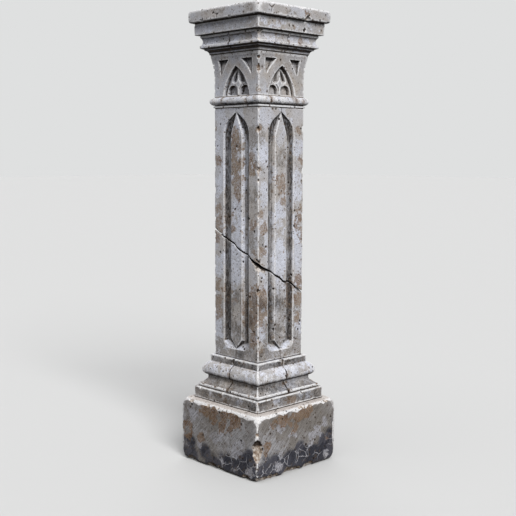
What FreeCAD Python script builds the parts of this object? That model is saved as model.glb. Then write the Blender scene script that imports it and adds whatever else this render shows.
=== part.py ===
"""A free-standing gothic column of limestone on a square plan, built stone by stone.

A plinth and a step carry a moulded base cut in four corner stones. The panelled shaft is broken
right across and pinned together again. A necking ring of eight small stones is let in round a stub
on top of the shaft, and above it stand a capital with traceried arches, a cornice of four corner
stones, a corona slab and the abacus. Mortar fills the joints, steel dowels tie each course to the
next, and cramps hold the corner stones together.

Millimetres, +Z up, origin at the middle of the plinth's underside. The front face looks along -Y.
"""

import FreeCAD, Part
import math
import os

Vector = FreeCAD.Vector

# Joints between the stones
JOINT = 1.5                      # thickness of every mortar joint
JOINT_RAKE = 0.5                 # mortar lies this far behind the narrower stone's face
OVERRUN = 1.0                    # how far a cut runs past what it cuts

# Plan sizes: the shaft's side, and how far each moulding stands out from the shaft's face
SHAFT_SIDE = 153.0
PLINTH_PROJECTION = 61.5
STEP_PROJECTION = 37.9
BASE_LIP_PROJECTION = 30.0
BASE_NECK_PROJECTION = 12.8
TORUS_PROJECTION = 23.3
TORUS_CREST_PROJECTION = 8.8
BASE_FILLET_PROJECTION = 8.2
RING_FILLET_PROJECTION = 2.6
RING_PROJECTION = 9.0
BELL_FLARE = 6.8
BED_MOULD_FOOT_PROJECTION = 9.0
BED_MOULD_PROJECTION = 17.4
CORNICE_LIP_PROJECTION = 25.3
CORNICE_THROAT_PROJECTION = 20.0
CORNICE_TOP_PROJECTION = 24.7
CORONA_PROJECTION = 34.9
ABACUS_PROJECTION = 47.1

# Heights of the courses and of the members carved on them, from the floor up
PLINTH_HEIGHT = 157.0
PLINTH_ARRIS_RADIUS = 10.0
STEP_HEIGHT = 27.5
STEP_ARRIS_RADIUS = 1.5
BASE_LIP_HEIGHT = 5.0
BASE_SLOPE_HEIGHT = 14.5
BASE_SLOPE_SAG = 0.4
BASE_NECK_HEIGHT = 8.0
TORUS_LOWER_HEIGHT = 13.0
TORUS_UPPER_HEIGHT = 21.5
BASE_FILLET_HEIGHT = 17.0
SHAFT_HEIGHT = 605.0
RING_FILLET_HEIGHT = 4.5
RING_QUIRK_HEIGHT = 1.1
RING_ROLL_HEIGHT = 19.4
CAPITAL_HEIGHT = 100.0
BELL_STRAIGHT_HEIGHT = 42.0
BELL_BAND_HEIGHT = 5.0
BED_MOULD_HEIGHT = 9.0
BED_MOULD_LIP_HEIGHT = 2.5
BED_MOULD_SOFFIT_RISE = 2.9
CORNICE_LIP_HEIGHT = 5.6
CORNICE_SCOTIA_HEIGHT = 19.5
CORNICE_TOP_HEIGHT = 4.0
CORONA_HEIGHT = 27.0
CORONA_BATTER = 0.8
CORONA_ARRIS_RADIUS = 1.2
ABACUS_HEIGHT = 29.0
ABACUS_ARRIS_RADIUS = 3.5

# Sunk panel on each face of the shaft
PANEL_HALF_WIDTH = 44.0
PANEL_FOOT_MARGIN = 21.5         # from the shaft's foot up to the sill of the panel
PANEL_HEAD_MARGIN = 9.0          # from the panel's apex up to the shaft's shoulder
PANEL_ARCH_RISE = 56.0
PANEL_HAUNCH_WIDTH = 20.6        # the haunch's arc ends this far in from the side
PANEL_HAUNCH_HEIGHT = 39.6       # and this far above the springing
PANEL_CORNER_WIDTH = 13.0
PANEL_CORNER_HEIGHT = 15.5
PANEL_CORNER_BULGE = 3.0
FIELD_HALF_WIDTH = 19.0
FIELD_APEX_DROP = 2.0            # field's apex below the panel's apex
FIELD_ARCH_RISE = 60.0
FIELD_HAUNCH_WIDTH = 2.7
FIELD_HAUNCH_HEIGHT = 15.0
FIELD_TIP_RISE = 3.5             # field's lower tip above the sill
FIELD_TIP_HEIGHT = 23.0
FIELD_DEPTH = 1.0
WALL_WIDTH = 2.5                 # steep outer wall of the hollow
WALL_DEPTH = 5.0
COVE_WIDTH = 5.5                 # easy slope from the wall's foot to the floor
HOLLOW_DEPTH = 8.0
FIELD_SLOPE_WIDTH = 6.5          # slope from the floor up to the field
SILL_SLOPE = 0.85                # share of the way from the sill to the field's foot that slopes

# The break across the shaft
BREAK_HEIGHT = 234.5             # above the shaft's foot, measured on the axis
BREAK_FALL = 0.5076              # fall per millimetre along +X and along +Y
BREAK_MOUTH = 2.4                # how wide the break gapes at the faces
BREAK_MOUTH_DEPTH = 16.0

# Neck stub on top of the shaft, and the ring stones round it
STUB_SIDE = 110.0
RING_CORNER_LAP = 15.0           # how far a corner stone laps along the stub

# Pointed arch, tracery and spandrels on each face of the capital
ARCH_HALF_WIDTH = 45.2
ARCH_RISE = 70.5                 # above the capital's foot
ARCH_SAGITTA = 9.0
ARCH_DEPTH = 9.0
ARCH_SPLAY = 2.0
EYE_DEPTH = 18.0
EYE_TAPER = 0.82                 # size of an eye's floor to the size of its mouth
LIGHT_MIDDLE = 20.8              # round-headed light: middle from the arch's middle line
LIGHT_RADIUS = 17.2
LIGHT_SILL = 2.0                 # above the capital's foot
LIGHT_SPRING = 8.2               # above the capital's foot
LEAF_INNER = 4.2                 # leaf-shaped eye: distances from the arch's middle line
LEAF_MIDDLE = 12.5
LEAF_OUTER = 22.4
LEAF_TIP = 2.6
LEAF_FOOT_HEIGHT = 30.0          # above the capital's foot
LEAF_SHOULDER_HEIGHT = 34.5
LEAF_TIP_DROP = 8.5              # below the arch's apex
LEAF_BULGE = 2.6
KITE_HALF_WIDTH = 10.5
KITE_FOOT_HEIGHT = 18.0          # above the capital's foot
KITE_SHOULDER_HEIGHT = 28.5
KITE_WAIST_HEIGHT = 37.5
KITE_TIP_DROP = 6.5              # below the arch's apex
KITE_STEM_HALF_WIDTH = 2.4
KITE_THICKNESS = 2.5
SPANDREL_INNER = 22.4            # distances from the arch's middle line
SPANDREL_OUTER = 58.5
SPANDREL_TIP = 53.0
SPANDREL_TOP_MARGIN = 14.5       # below the capital's top
SPANDREL_HEIGHT = 39.0
SPANDREL_BULGE = 2.0
SPANDREL_TOP_DEPTH = 6.0         # behind the shaft's face line
SPANDREL_TIP_DEPTH = 0.3

# Steel dowels, pins and cramps
DOWEL_DIAMETER = 16.0
DOWEL_DEPTH_IN_BLOCK = 35.0
DOWEL_DEPTH_IN_SLAB = 12.0
PIN_DIAMETER = 10.0
PIN_DEPTH = 13.0
DOWEL_CLEARANCE = 0.2
DOWEL_END_GAP = 0.5
BREAK_PIN_DIAMETER = 12.0
BREAK_PIN_LENGTH = 140.0
BREAK_PIN_SPACING = 56.0
BASE_PIN_OFFSET = 60.0
SHAFT_PIN_OFFSET = 40.0
CORNICE_PIN_OFFSET = 46.0
CORONA_PIN_OFFSET = 62.0
CRAMP_LENGTH = 64.0
CRAMP_WIDTH = 8.0
CRAMP_THICKNESS = 5.0
CRAMP_LEG = 11.0
CRAMP_CLEARANCE = 0.2
BASE_CRAMP_OFFSET = 56.0
CORNICE_CRAMP_OFFSET = 64.0

# Worked-out levels and half sides
SHAFT_HALF = SHAFT_SIDE / 2
STUB_HALF = STUB_SIDE / 2
RING_STRAIGHT_HALF = STUB_HALF + JOINT - RING_CORNER_LAP
BASE_HEIGHT = (BASE_LIP_HEIGHT + BASE_SLOPE_HEIGHT + BASE_NECK_HEIGHT
               + TORUS_LOWER_HEIGHT + TORUS_UPPER_HEIGHT + BASE_FILLET_HEIGHT)
RING_HEIGHT = RING_FILLET_HEIGHT + RING_QUIRK_HEIGHT + RING_ROLL_HEIGHT
CORNICE_HEIGHT = (BED_MOULD_HEIGHT + BED_MOULD_LIP_HEIGHT + BED_MOULD_SOFFIT_RISE
                  + CORNICE_LIP_HEIGHT + CORNICE_SCOTIA_HEIGHT + CORNICE_TOP_HEIGHT)

PLINTH_TOP = PLINTH_HEIGHT
STEP_FOOT = PLINTH_TOP + JOINT
STEP_TOP = STEP_FOOT + STEP_HEIGHT
BASE_FOOT = STEP_TOP + JOINT
BASE_TOP = BASE_FOOT + BASE_HEIGHT
SHAFT_FOOT = BASE_TOP + JOINT
SHOULDER = SHAFT_FOOT + SHAFT_HEIGHT
RING_FOOT = SHOULDER + JOINT
RING_TOP = RING_FOOT + RING_HEIGHT
CAPITAL_FOOT = RING_TOP + JOINT
CAPITAL_TOP = CAPITAL_FOOT + CAPITAL_HEIGHT
CORNICE_FOOT = CAPITAL_TOP + JOINT
CORNICE_TOP = CORNICE_FOOT + CORNICE_HEIGHT
CORONA_FOOT = CORNICE_TOP + JOINT
CORONA_TOP = CORONA_FOOT + CORONA_HEIGHT
ABACUS_FOOT = CORONA_TOP + JOINT
ABACUS_TOP = ABACUS_FOOT + ABACUS_HEIGHT

PLINTH_HALF = SHAFT_HALF + PLINTH_PROJECTION
ABACUS_HALF = SHAFT_HALF + ABACUS_PROJECTION
REACH = 2 * (PLINTH_HALF + ABACUS_HALF)      # longer than any stone is wide

FACE_NAMES = ("front", "right", "back", "left")
CORNER_NAMES = ("front_right", "back_right", "back_left", "front_left")
QUARTER_TURN = 360 / len(FACE_NAMES)
FACES = {name: turn * QUARTER_TURN for turn, name in enumerate(FACE_NAMES)}
CORNERS = {name: turn * QUARTER_TURN for turn, name in enumerate(CORNER_NAMES)}
UP = Vector(0, 0, 1)
ORIGIN = Vector(0, 0, 0)


# General shapes

def block(x0, x1, y0, y1, z0, z1):
    """Box between two corners."""
    return Part.makeBox(x1 - x0, y1 - y0, z1 - z0, Vector(x0, y0, z0))


def square(half, z0, z1):
    """Square block about the axis."""
    return block(-half, half, -half, half, z0, z1)


def turned(shape, degrees):
    """Copy turned about the column's axis."""
    copy = shape.copy()
    copy.rotate(ORIGIN, UP, degrees)
    return copy


def fused(shapes):
    """All shapes joined into one solid."""
    return shapes[0].multiFuse(shapes[1:]).removeSplitter()


def line(start, end):
    return Part.LineSegment(start, end).toShape()


def arc(start, middle, end):
    return Part.Arc(start, middle, end).toShape()


def bulge_middle(start, end, bulge):
    """Middle of an arc between two (across, up) points that swells by bulge away from its chord."""
    across = end[0] - start[0]
    up = end[1] - start[1]
    share = bulge / math.hypot(across, up)
    return ((start[0] + end[0]) / 2 - up * share, (start[1] + end[1]) / 2 + across * share)


def course(members):
    """Square course with mitred mouldings, shaped about its own foot and then lifted to its level.
    Members climb from the foot: first a (half side, height) point, then points joined by straight
    runs, or (middle point, end point) pairs joined by arcs."""
    level = members[0][1]

    def right(p):
        return Vector(p[0], 0, p[1] - level)

    def left(p):
        return Vector(-p[0], 0, p[1] - level)

    point = members[0]
    right_edges = []
    left_edges = []
    for member in members[1:]:
        if isinstance(member[0], tuple):
            middle, end = member
            right_edges.append(arc(right(point), right(middle), right(end)))
            left_edges.insert(0, arc(left(end), left(middle), left(point)))
        else:
            end = member
            right_edges.append(line(right(point), right(end)))
            left_edges.insert(0, line(left(end), left(point)))
        point = end
    foot = line(left(members[0]), right(members[0]))
    head = line(right(point), left(point))
    face = Part.Face(Part.Wire([foot] + right_edges + [head] + left_edges))
    face.translate(Vector(0, -REACH, 0))
    prism = face.extrude(Vector(0, 2 * REACH, 0))
    stone = prism.common(turned(prism, QUARTER_TURN))
    stone.translate(Vector(0, 0, level))
    return stone


def circle_point(centre, radius, degrees):
    """Point of a circle in a profile, as (half side, height)."""
    angle = math.radians(degrees)
    return (centre[0] + radius * math.cos(angle), centre[1] + radius * math.sin(angle))


def roll(nose, tail):
    """Middle of the arc from the nose of a roll, where it is upright, to its tail."""
    run = nose[0] - tail[0]
    rise = tail[1] - nose[1]
    radius = (run * run + rise * rise) / (2 * run)
    centre = (nose[0] - radius, nose[1])
    sweep = math.degrees(math.atan2(rise, tail[0] - centre[0]))
    return circle_point(centre, radius, sweep / 2)


def hollow(lower, upper):
    """Middle of a concave quarter between two points of a profile, upright at its inner end."""
    inner, outer = (lower, upper) if lower[0] < upper[0] else (upper, lower)
    run = outer[0] - inner[0]
    rise = outer[1] - inner[1]
    radius = (run * run + rise * rise) / (2 * run)
    centre = (inner[0] + radius, inner[1])
    sweep = math.degrees(math.atan2(rise, outer[0] - centre[0]))
    start = 180.0 if rise > 0 else -180.0
    return circle_point(centre, radius, (start + sweep) / 2)


def corner_stones(whole):
    """The four stones of a course that is jointed at the middle of each face, by corner name."""
    half_joint = JOINT / 2
    box = whole.BoundBox
    quarter = block(half_joint, REACH, -REACH, -half_joint, box.ZMin - OVERRUN, box.ZMax + OVERRUN)
    stone = whole.common(quarter)
    return {corner: turned(stone, degrees) for corner, degrees in CORNERS.items()}


def worn(stone, radius):
    """Stone with all its arrises rounded."""
    return stone.makeFillet(radius, stone.Edges)


# Steel ties

def tie(x, y, joint_foot, below, above, diameter):
    """Upright dowel across a joint, and the hole that takes it."""
    foot = joint_foot - below
    length = below + JOINT + above
    dowel = Part.makeCylinder(diameter / 2, length, Vector(x, y, foot))
    hole = Part.makeCylinder(diameter / 2 + DOWEL_CLEARANCE, length + 2 * DOWEL_END_GAP,
                             Vector(x, y, foot - DOWEL_END_GAP))
    return dowel, hole


def four_ties(offset, joint_foot, below, above, diameter):
    """Four upright dowels, one near each corner, and their holes."""
    places = [(x, y) for x in (-offset, offset) for y in (-offset, offset)]
    pairs = [tie(x, y, joint_foot, below, above, diameter) for x, y in places]
    return Part.makeCompound([p[0] for p in pairs]), Part.makeCompound([p[1] for p in pairs])


def cramp(offset, bed, grow):
    """Staple across the joint in the middle of the front face, sunk flush with the bed."""
    half = CRAMP_LENGTH / 2 + grow
    side = CRAMP_WIDTH / 2 + grow
    underside = bed - CRAMP_THICKNESS
    legs_foot = underside - CRAMP_LEG
    bar = block(-half, half, -offset - side, -offset + side, underside, bed)
    legs = []
    for sign in (-1, 1):
        middle = sign * (CRAMP_LENGTH - CRAMP_WIDTH) / 2
        legs.append(block(middle - side, middle + side, -offset - side, -offset + side,
                          legs_foot, underside))
    return fused([bar] + legs)


def four_cramps(offset, bed):
    """One cramp on each face, and the sinkings that take them."""
    irons = [turned(cramp(offset, bed, 0), degrees) for degrees in FACES.values()]
    sinkings = [turned(cramp(offset, bed, CRAMP_CLEARANCE), degrees) for degrees in FACES.values()]
    return Part.makeCompound(irons), Part.makeCompound(sinkings)


# Mortar

def bed_joint(half, foot, holes):
    """Mortar bed of the given half side, with the dowels' holes through it."""
    bed = square(half - JOINT_RAKE, foot, foot + JOINT)
    return bed.cut(holes)


def cross_joint(half, foot, top):
    """Mortar in the upright joints between four corner stones: a cross on plan."""
    reach = half - JOINT_RAKE
    thin = JOINT / 2
    along_x = block(-reach, reach, -thin, thin, foot, top)
    along_y = block(-thin, thin, -reach, reach, foot, top)
    return fused([along_x, along_y])


# Stones, from the floor up

def plinth(hole):
    """Heavy block with well worn arrises."""
    return worn(square(PLINTH_HALF, 0, PLINTH_TOP), PLINTH_ARRIS_RADIUS).cut(hole)


def step(holes):
    """Low square slab between the plinth and the moulded base."""
    half = SHAFT_HALF + STEP_PROJECTION
    return worn(square(half, STEP_FOOT, STEP_TOP), STEP_ARRIS_RADIUS).cut(holes)


def base_course():
    """Lip, hollow slope, neck, torus and fillet under the shaft."""
    lip = SHAFT_HALF + BASE_LIP_PROJECTION
    neck = SHAFT_HALF + BASE_NECK_PROJECTION
    fillet = SHAFT_HALF + BASE_FILLET_PROJECTION
    lip_top = BASE_FOOT + BASE_LIP_HEIGHT
    neck_foot = lip_top + BASE_SLOPE_HEIGHT
    neck_top = neck_foot + BASE_NECK_HEIGHT
    nose = (SHAFT_HALF + TORUS_PROJECTION, neck_top + TORUS_LOWER_HEIGHT)
    crest = (SHAFT_HALF + TORUS_CREST_PROJECTION, nose[1] + TORUS_UPPER_HEIGHT)
    throat = (neck, neck_top)
    return course([
        (lip, BASE_FOOT),
        (lip, lip_top),
        (bulge_middle((lip, lip_top), (neck, neck_foot), BASE_SLOPE_SAG), (neck, neck_foot)),
        throat,
        (roll(nose, throat), nose),
        (roll(nose, crest), crest),
        (fillet, crest[1]),
        (fillet, BASE_TOP),
    ])


def shaft():
    """Whole shaft with its stub, before the panels are sunk."""
    return fused([square(SHAFT_HALF, SHAFT_FOOT, SHOULDER),
                  square(STUB_HALF, SHOULDER, RING_TOP)])


def panel_outline(share, sill_share, depth):
    """Outline of the panel on the front face. Share 0 is its outer arris and 1 the edge of its field.
    The sill has a share of its own."""
    def mix(outer, inner):
        return outer + (inner - outer) * share

    def mix_sill(outer, inner):
        return outer + (inner - outer) * sill_share

    sill = SHAFT_FOOT + PANEL_FOOT_MARGIN
    apex = SHOULDER - PANEL_HEAD_MARGIN - mix(0, FIELD_APEX_DROP)
    half = mix(PANEL_HALF_WIDTH, FIELD_HALF_WIDTH)
    spring = (half, apex - mix(PANEL_ARCH_RISE, FIELD_ARCH_RISE))
    haunch = (half - mix(PANEL_HAUNCH_WIDTH, FIELD_HAUNCH_WIDTH),
              spring[1] + mix(PANEL_HAUNCH_HEIGHT, FIELD_HAUNCH_HEIGHT))
    side_foot = (half, sill + mix(PANEL_CORNER_HEIGHT, FIELD_TIP_RISE + FIELD_TIP_HEIGHT))
    corner = (mix_sill(PANEL_HALF_WIDTH - PANEL_CORNER_WIDTH, FIELD_HALF_WIDTH / 2),
              sill + mix_sill(0, FIELD_TIP_RISE + FIELD_TIP_HEIGHT / 2))
    tip = (0, sill + mix_sill(0, FIELD_TIP_RISE))
    corner_middle = bulge_middle(corner, side_foot, -mix_sill(PANEL_CORNER_BULGE, 0))
    haunch_middle = roll(spring, haunch)

    def right(p):
        return Vector(p[0], -SHAFT_HALF + depth, p[1])

    def left(p):
        return Vector(-p[0], -SHAFT_HALF + depth, p[1])

    def foot_corner(side):
        if sill_share < 1:
            return arc(side(side_foot), side(corner_middle), side(corner))
        return line(side(side_foot), side(corner))

    top = (0, apex)
    return Part.Wire([line(right(top), right(haunch)),
                      arc(right(haunch), right(haunch_middle), right(spring)),
                      line(right(spring), right(side_foot)),
                      foot_corner(right),
                      line(right(corner), right(tip)),
                      line(left(tip), left(corner)),
                      foot_corner(left),
                      line(left(side_foot), left(spring)),
                      arc(left(spring), left(haunch_middle), left(haunch)),
                      line(left(haunch), left(top))])


def panel_sinking():
    """What is cut from the front face: a hollow with a steep wall and a cove round a raised field, and
    a long sloping sill at the foot."""
    width = PANEL_HALF_WIDTH - FIELD_HALF_WIDTH
    outer = panel_outline(0, 0, 0)
    wall_foot = panel_outline(WALL_WIDTH / width, SILL_SLOPE * WALL_DEPTH / HOLLOW_DEPTH, WALL_DEPTH)
    floor_edge = panel_outline((WALL_WIDTH + COVE_WIDTH) / width, SILL_SLOPE, HOLLOW_DEPTH)
    slope_foot = panel_outline(1 - FIELD_SLOPE_WIDTH / width, (SILL_SLOPE + 1) / 2, HOLLOW_DEPTH)
    field_edge = panel_outline(1, 1, FIELD_DEPTH)
    front = Part.Face(outer).extrude(Vector(0, -OVERRUN, 0))
    wall = Part.makeLoft([outer, wall_foot], True, True)
    cove = Part.makeLoft([wall_foot, floor_edge], True, True)
    field = Part.makeLoft([slope_foot, field_edge], True, True)
    return fused([front, wall, cove]).cut(field)


def below_break():
    """Everything under the plane of the break."""
    depth = REACH + SHAFT_HEIGHT
    return laid_on_break(block(-REACH, REACH, -REACH, REACH, -depth, 0))


def laid_on_break(shape):
    """Turns a shape made about the origin so that its XY plane lies on the plane of the break."""
    normal = Vector(BREAK_FALL, BREAK_FALL, 1)
    place = FreeCAD.Placement(Vector(0, 0, SHAFT_FOOT + BREAK_HEIGHT), FreeCAD.Rotation(UP, normal))
    moved = shape.copy()
    moved.Placement = place.multiply(moved.Placement)
    return moved


def break_mouth():
    """The gap round the edge of the break, open to the faces and closed in the heart of the shaft."""
    half = BREAK_MOUTH / 2
    slab = laid_on_break(block(-REACH, REACH, -REACH, REACH, -half, half))
    heart = square(SHAFT_HALF - BREAK_MOUTH_DEPTH, SHAFT_FOOT, SHOULDER)
    return slab.cut(heart)


def break_pins():
    """Two pins square to the break, side by side on its level line, and their holes."""
    pins = []
    holes = []
    radius = BREAK_PIN_DIAMETER / 2
    offset = BREAK_PIN_SPACING / 2 / math.sqrt(2)
    for side in (-offset, offset):
        foot = Vector(side, -side, -BREAK_PIN_LENGTH / 2)
        pins.append(laid_on_break(Part.makeCylinder(radius, BREAK_PIN_LENGTH, foot)))
        hole_foot = foot.sub(Vector(0, 0, DOWEL_END_GAP))
        hole_length = BREAK_PIN_LENGTH + 2 * DOWEL_END_GAP
        holes.append(laid_on_break(Part.makeCylinder(radius + DOWEL_CLEARANCE, hole_length, hole_foot)))
    return Part.makeCompound(pins), Part.makeCompound(holes)


def ring_course():
    """Fillet, quirk and roll of the necking ring, hollowed for the stub."""
    fillet = SHAFT_HALF + RING_FILLET_PROJECTION
    fillet_top = RING_FOOT + RING_FILLET_HEIGHT
    roll_foot = fillet_top + RING_QUIRK_HEIGHT
    radius = RING_ROLL_HEIGHT / 2
    centre = SHAFT_HALF + RING_PROJECTION - radius
    nose = (centre + radius, roll_foot + radius)
    ring = course([
        (fillet, RING_FOOT),
        (fillet, fillet_top),
        (centre, fillet_top),
        (centre, roll_foot),
        (nose, (centre, RING_TOP)),
    ])
    return ring.cut(square(STUB_HALF + JOINT, RING_FOOT - OVERRUN, RING_TOP + OVERRUN))


def ring_stones():
    """Four straight stones at the middle of the faces and four corner stones between them."""
    ring = ring_course()
    half = RING_STRAIGHT_HALF
    low = RING_FOOT - OVERRUN
    high = RING_TOP + OVERRUN
    straight = ring.common(block(-half, half, -REACH, -STUB_HALF, low, high))
    corner = ring.common(block(half + JOINT, REACH, -REACH, -half - JOINT, low, high))
    stones = {"ring_stone_" + face: turned(straight, degrees) for face, degrees in FACES.items()}
    stones.update({"ring_corner_" + name: turned(corner, degrees) for name, degrees in CORNERS.items()})
    return stones


def ring_mortar():
    """The bed under the ring, the collar between stub and ring, and the joints between ring stones."""
    outer = SHAFT_HALF - JOINT_RAKE
    inner = STUB_HALF + JOINT
    stub = square(STUB_HALF, SHOULDER - OVERRUN, RING_TOP + OVERRUN)
    bed = square(outer, SHOULDER, RING_FOOT).cut(stub)
    collar = square(inner, RING_FOOT, RING_TOP).cut(stub)
    joints = []
    for degrees in FACES.values():
        for x in (RING_STRAIGHT_HALF, -RING_STRAIGHT_HALF - JOINT):
            joint = block(x, x + JOINT, -outer, -inner, RING_FOOT, RING_TOP)
            joints.append(turned(joint, degrees))
    return {"ring_bed": bed, "ring_collar": collar, "ring_joints": Part.makeCompound(joints)}


def arch_outline(half, rise, depth):
    """Pointed arch on the front face of the capital, running down past the capital's foot."""
    def point(p):
        return Vector(p[0], -SHAFT_HALF + depth, CAPITAL_FOOT + p[1])

    apex = (0, rise)
    middle = bulge_middle((half, 0), apex, -ARCH_SAGITTA)
    return Part.Wire([line(point((-half, -OVERRUN)), point((-half, 0))),
                      arc(point((-half, 0)), point((-middle[0], middle[1])), point(apex)),
                      arc(point(apex), point(middle), point((half, 0))),
                      line(point((half, 0)), point((half, -OVERRUN))),
                      line(point((half, -OVERRUN)), point((-half, -OVERRUN)))])


def arch_sinking():
    """The splayed pointed recess, down to the face of the tracery."""
    outer = arch_outline(ARCH_HALF_WIDTH, ARCH_RISE, 0)
    inner = arch_outline(ARCH_HALF_WIDTH - ARCH_SPLAY, ARCH_RISE - ARCH_SPLAY, ARCH_DEPTH)
    front = Part.Face(outer).extrude(Vector(0, -BELL_FLARE - OVERRUN, 0))
    return fused([front, Part.makeLoft([outer, inner], True, True)])


def eye_sinking(edges):
    """Tapered hole in the tracery, from its outline on the tracery's face."""
    mouth = Part.Wire(edges)
    floor = mouth.copy()
    floor.scale(EYE_TAPER, Vector(mouth.BoundBox.Center))
    floor.translate(Vector(0, EYE_DEPTH - ARCH_DEPTH, 0))
    front = Part.Face(mouth).extrude(Vector(0, -KITE_THICKNESS - OVERRUN, 0))
    return fused([front, Part.makeLoft([mouth, floor], True, True)])


def tracery_eyes(side):
    """A round-headed light and the leaf-shaped eye above it, on one side of the arch's middle line."""
    def point(x, z):
        return Vector(side * x, -SHAFT_HALF + ARCH_DEPTH, CAPITAL_FOOT + z)

    left = LIGHT_MIDDLE - LIGHT_RADIUS
    right = LIGHT_MIDDLE + LIGHT_RADIUS
    head = point(LIGHT_MIDDLE, LIGHT_SPRING + LIGHT_RADIUS)
    light = [line(point(left, LIGHT_SILL), point(left, LIGHT_SPRING)),
             arc(point(left, LIGHT_SPRING), head, point(right, LIGHT_SPRING)),
             line(point(right, LIGHT_SPRING), point(right, LIGHT_SILL)),
             line(point(right, LIGHT_SILL), point(left, LIGHT_SILL))]

    inner = (LEAF_INNER, LEAF_SHOULDER_HEIGHT)
    outer = (LEAF_OUTER, LEAF_SHOULDER_HEIGHT)
    tip = (LEAF_TIP, ARCH_RISE - LEAF_TIP_DROP)
    leaf = [arc(point(*inner), point(LEAF_MIDDLE, LEAF_FOOT_HEIGHT), point(*outer)),
            arc(point(*outer), point(*bulge_middle(outer, tip, -LEAF_BULGE)), point(*tip)),
            line(point(*tip), point(*inner))]
    return [eye_sinking(light), eye_sinking(leaf)]


def kite_boss():
    """Raised kite where the bars of the tracery meet, with a stem below and a long spike above."""
    half = [(KITE_STEM_HALF_WIDTH, LIGHT_SILL), (KITE_STEM_HALF_WIDTH, KITE_FOOT_HEIGHT),
            (KITE_HALF_WIDTH, KITE_SHOULDER_HEIGHT), (KITE_STEM_HALF_WIDTH, KITE_WAIST_HEIGHT)]
    tip = (0, ARCH_RISE - KITE_TIP_DROP)
    places = half + [tip] + [(-x, z) for x, z in reversed(half)] + half[:1]
    face_y = -SHAFT_HALF + ARCH_DEPTH
    outline = Part.makePolygon([Vector(x, face_y, CAPITAL_FOOT + z) for x, z in places])
    return Part.Face(outline).extrude(Vector(0, -KITE_THICKNESS, 0))


def spandrel_sinking(side):
    """Curved triangle beside the arch, whose floor leans in from its tip to its top."""
    top = CAPITAL_TOP - SPANDREL_TOP_MARGIN
    tip_height = top - SPANDREL_HEIGHT

    def point(p):
        climb = (p[1] - tip_height) / SPANDREL_HEIGHT
        depth = SPANDREL_TIP_DEPTH + (SPANDREL_TOP_DEPTH - SPANDREL_TIP_DEPTH) * climb
        return Vector(side * p[0], -SHAFT_HALF + depth, p[1])

    outer = (SPANDREL_OUTER, top)
    inner = (SPANDREL_INNER, top)
    tip = (SPANDREL_TIP, tip_height)
    wire = Part.Wire([line(point(outer), point(inner)),
                      arc(point(inner), point(bulge_middle(inner, tip, SPANDREL_BULGE)), point(tip)),
                      line(point(tip), point(outer))])
    return Part.Face(wire).extrude(Vector(0, -SPANDREL_TOP_DEPTH - BELL_FLARE - OVERRUN, 0))


def capital(holes):
    """Bell that flares to an upright band at the top, with tracery carved on its four faces."""
    flare_foot = (SHAFT_HALF, CAPITAL_FOOT + BELL_STRAIGHT_HEIGHT)
    flare_top = (SHAFT_HALF + BELL_FLARE, CAPITAL_TOP - BELL_BAND_HEIGHT)
    bell = course([(SHAFT_HALF, CAPITAL_FOOT), flare_foot, (hollow(flare_foot, flare_top), flare_top),
                   (flare_top[0], CAPITAL_TOP)])
    carving = [arch_sinking(), spandrel_sinking(-1), spandrel_sinking(1)]
    eyes = tracery_eyes(-1) + tracery_eyes(1)
    boss = kite_boss()
    for degrees in FACES.values():
        bell = bell.cut([turned(shape, degrees) for shape in carving + eyes])
        bell = bell.fuse(turned(boss, degrees))
    return bell.cut(holes)


def cornice_course():
    """Bed mould, lip, scotia and top lip under the corona."""
    foot = SHAFT_HALF + BED_MOULD_FOOT_PROJECTION
    bed_top = (SHAFT_HALF + BED_MOULD_PROJECTION, CORNICE_FOOT + BED_MOULD_HEIGHT)
    lip = SHAFT_HALF + CORNICE_LIP_PROJECTION
    bed_lip = (bed_top[0], bed_top[1] + BED_MOULD_LIP_HEIGHT)
    lip_foot = bed_lip[1] + BED_MOULD_SOFFIT_RISE
    lip_top = lip_foot + CORNICE_LIP_HEIGHT
    throat = SHAFT_HALF + CORNICE_THROAT_PROJECTION
    top = SHAFT_HALF + CORNICE_TOP_PROJECTION
    top_foot = lip_top + CORNICE_SCOTIA_HEIGHT
    middle = (lip_top + top_foot) / 2
    return course([
        (foot, CORNICE_FOOT),
        (hollow((foot, CORNICE_FOOT), bed_top), bed_top),
        bed_lip,
        (lip, lip_foot),
        (lip, lip_top),
        (hollow((lip, lip_top), (throat, middle)), (throat, middle)),
        (hollow((throat, middle), (top, top_foot)), (top, top_foot)),
        (top, CORNICE_TOP),
    ])


def corona(holes):
    """Plain slab whose faces lean out a little."""
    half = SHAFT_HALF + CORONA_PROJECTION
    stone = course([(half - CORONA_BATTER, CORONA_FOOT), (half, CORONA_TOP)])
    return worn(stone, CORONA_ARRIS_RADIUS).cut(holes)


def abacus(hole):
    """Top slab with rounded arrises."""
    return worn(square(ABACUS_HALF, ABACUS_FOOT, ABACUS_TOP), ABACUS_ARRIS_RADIUS).cut(hole)


# The whole column

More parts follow.
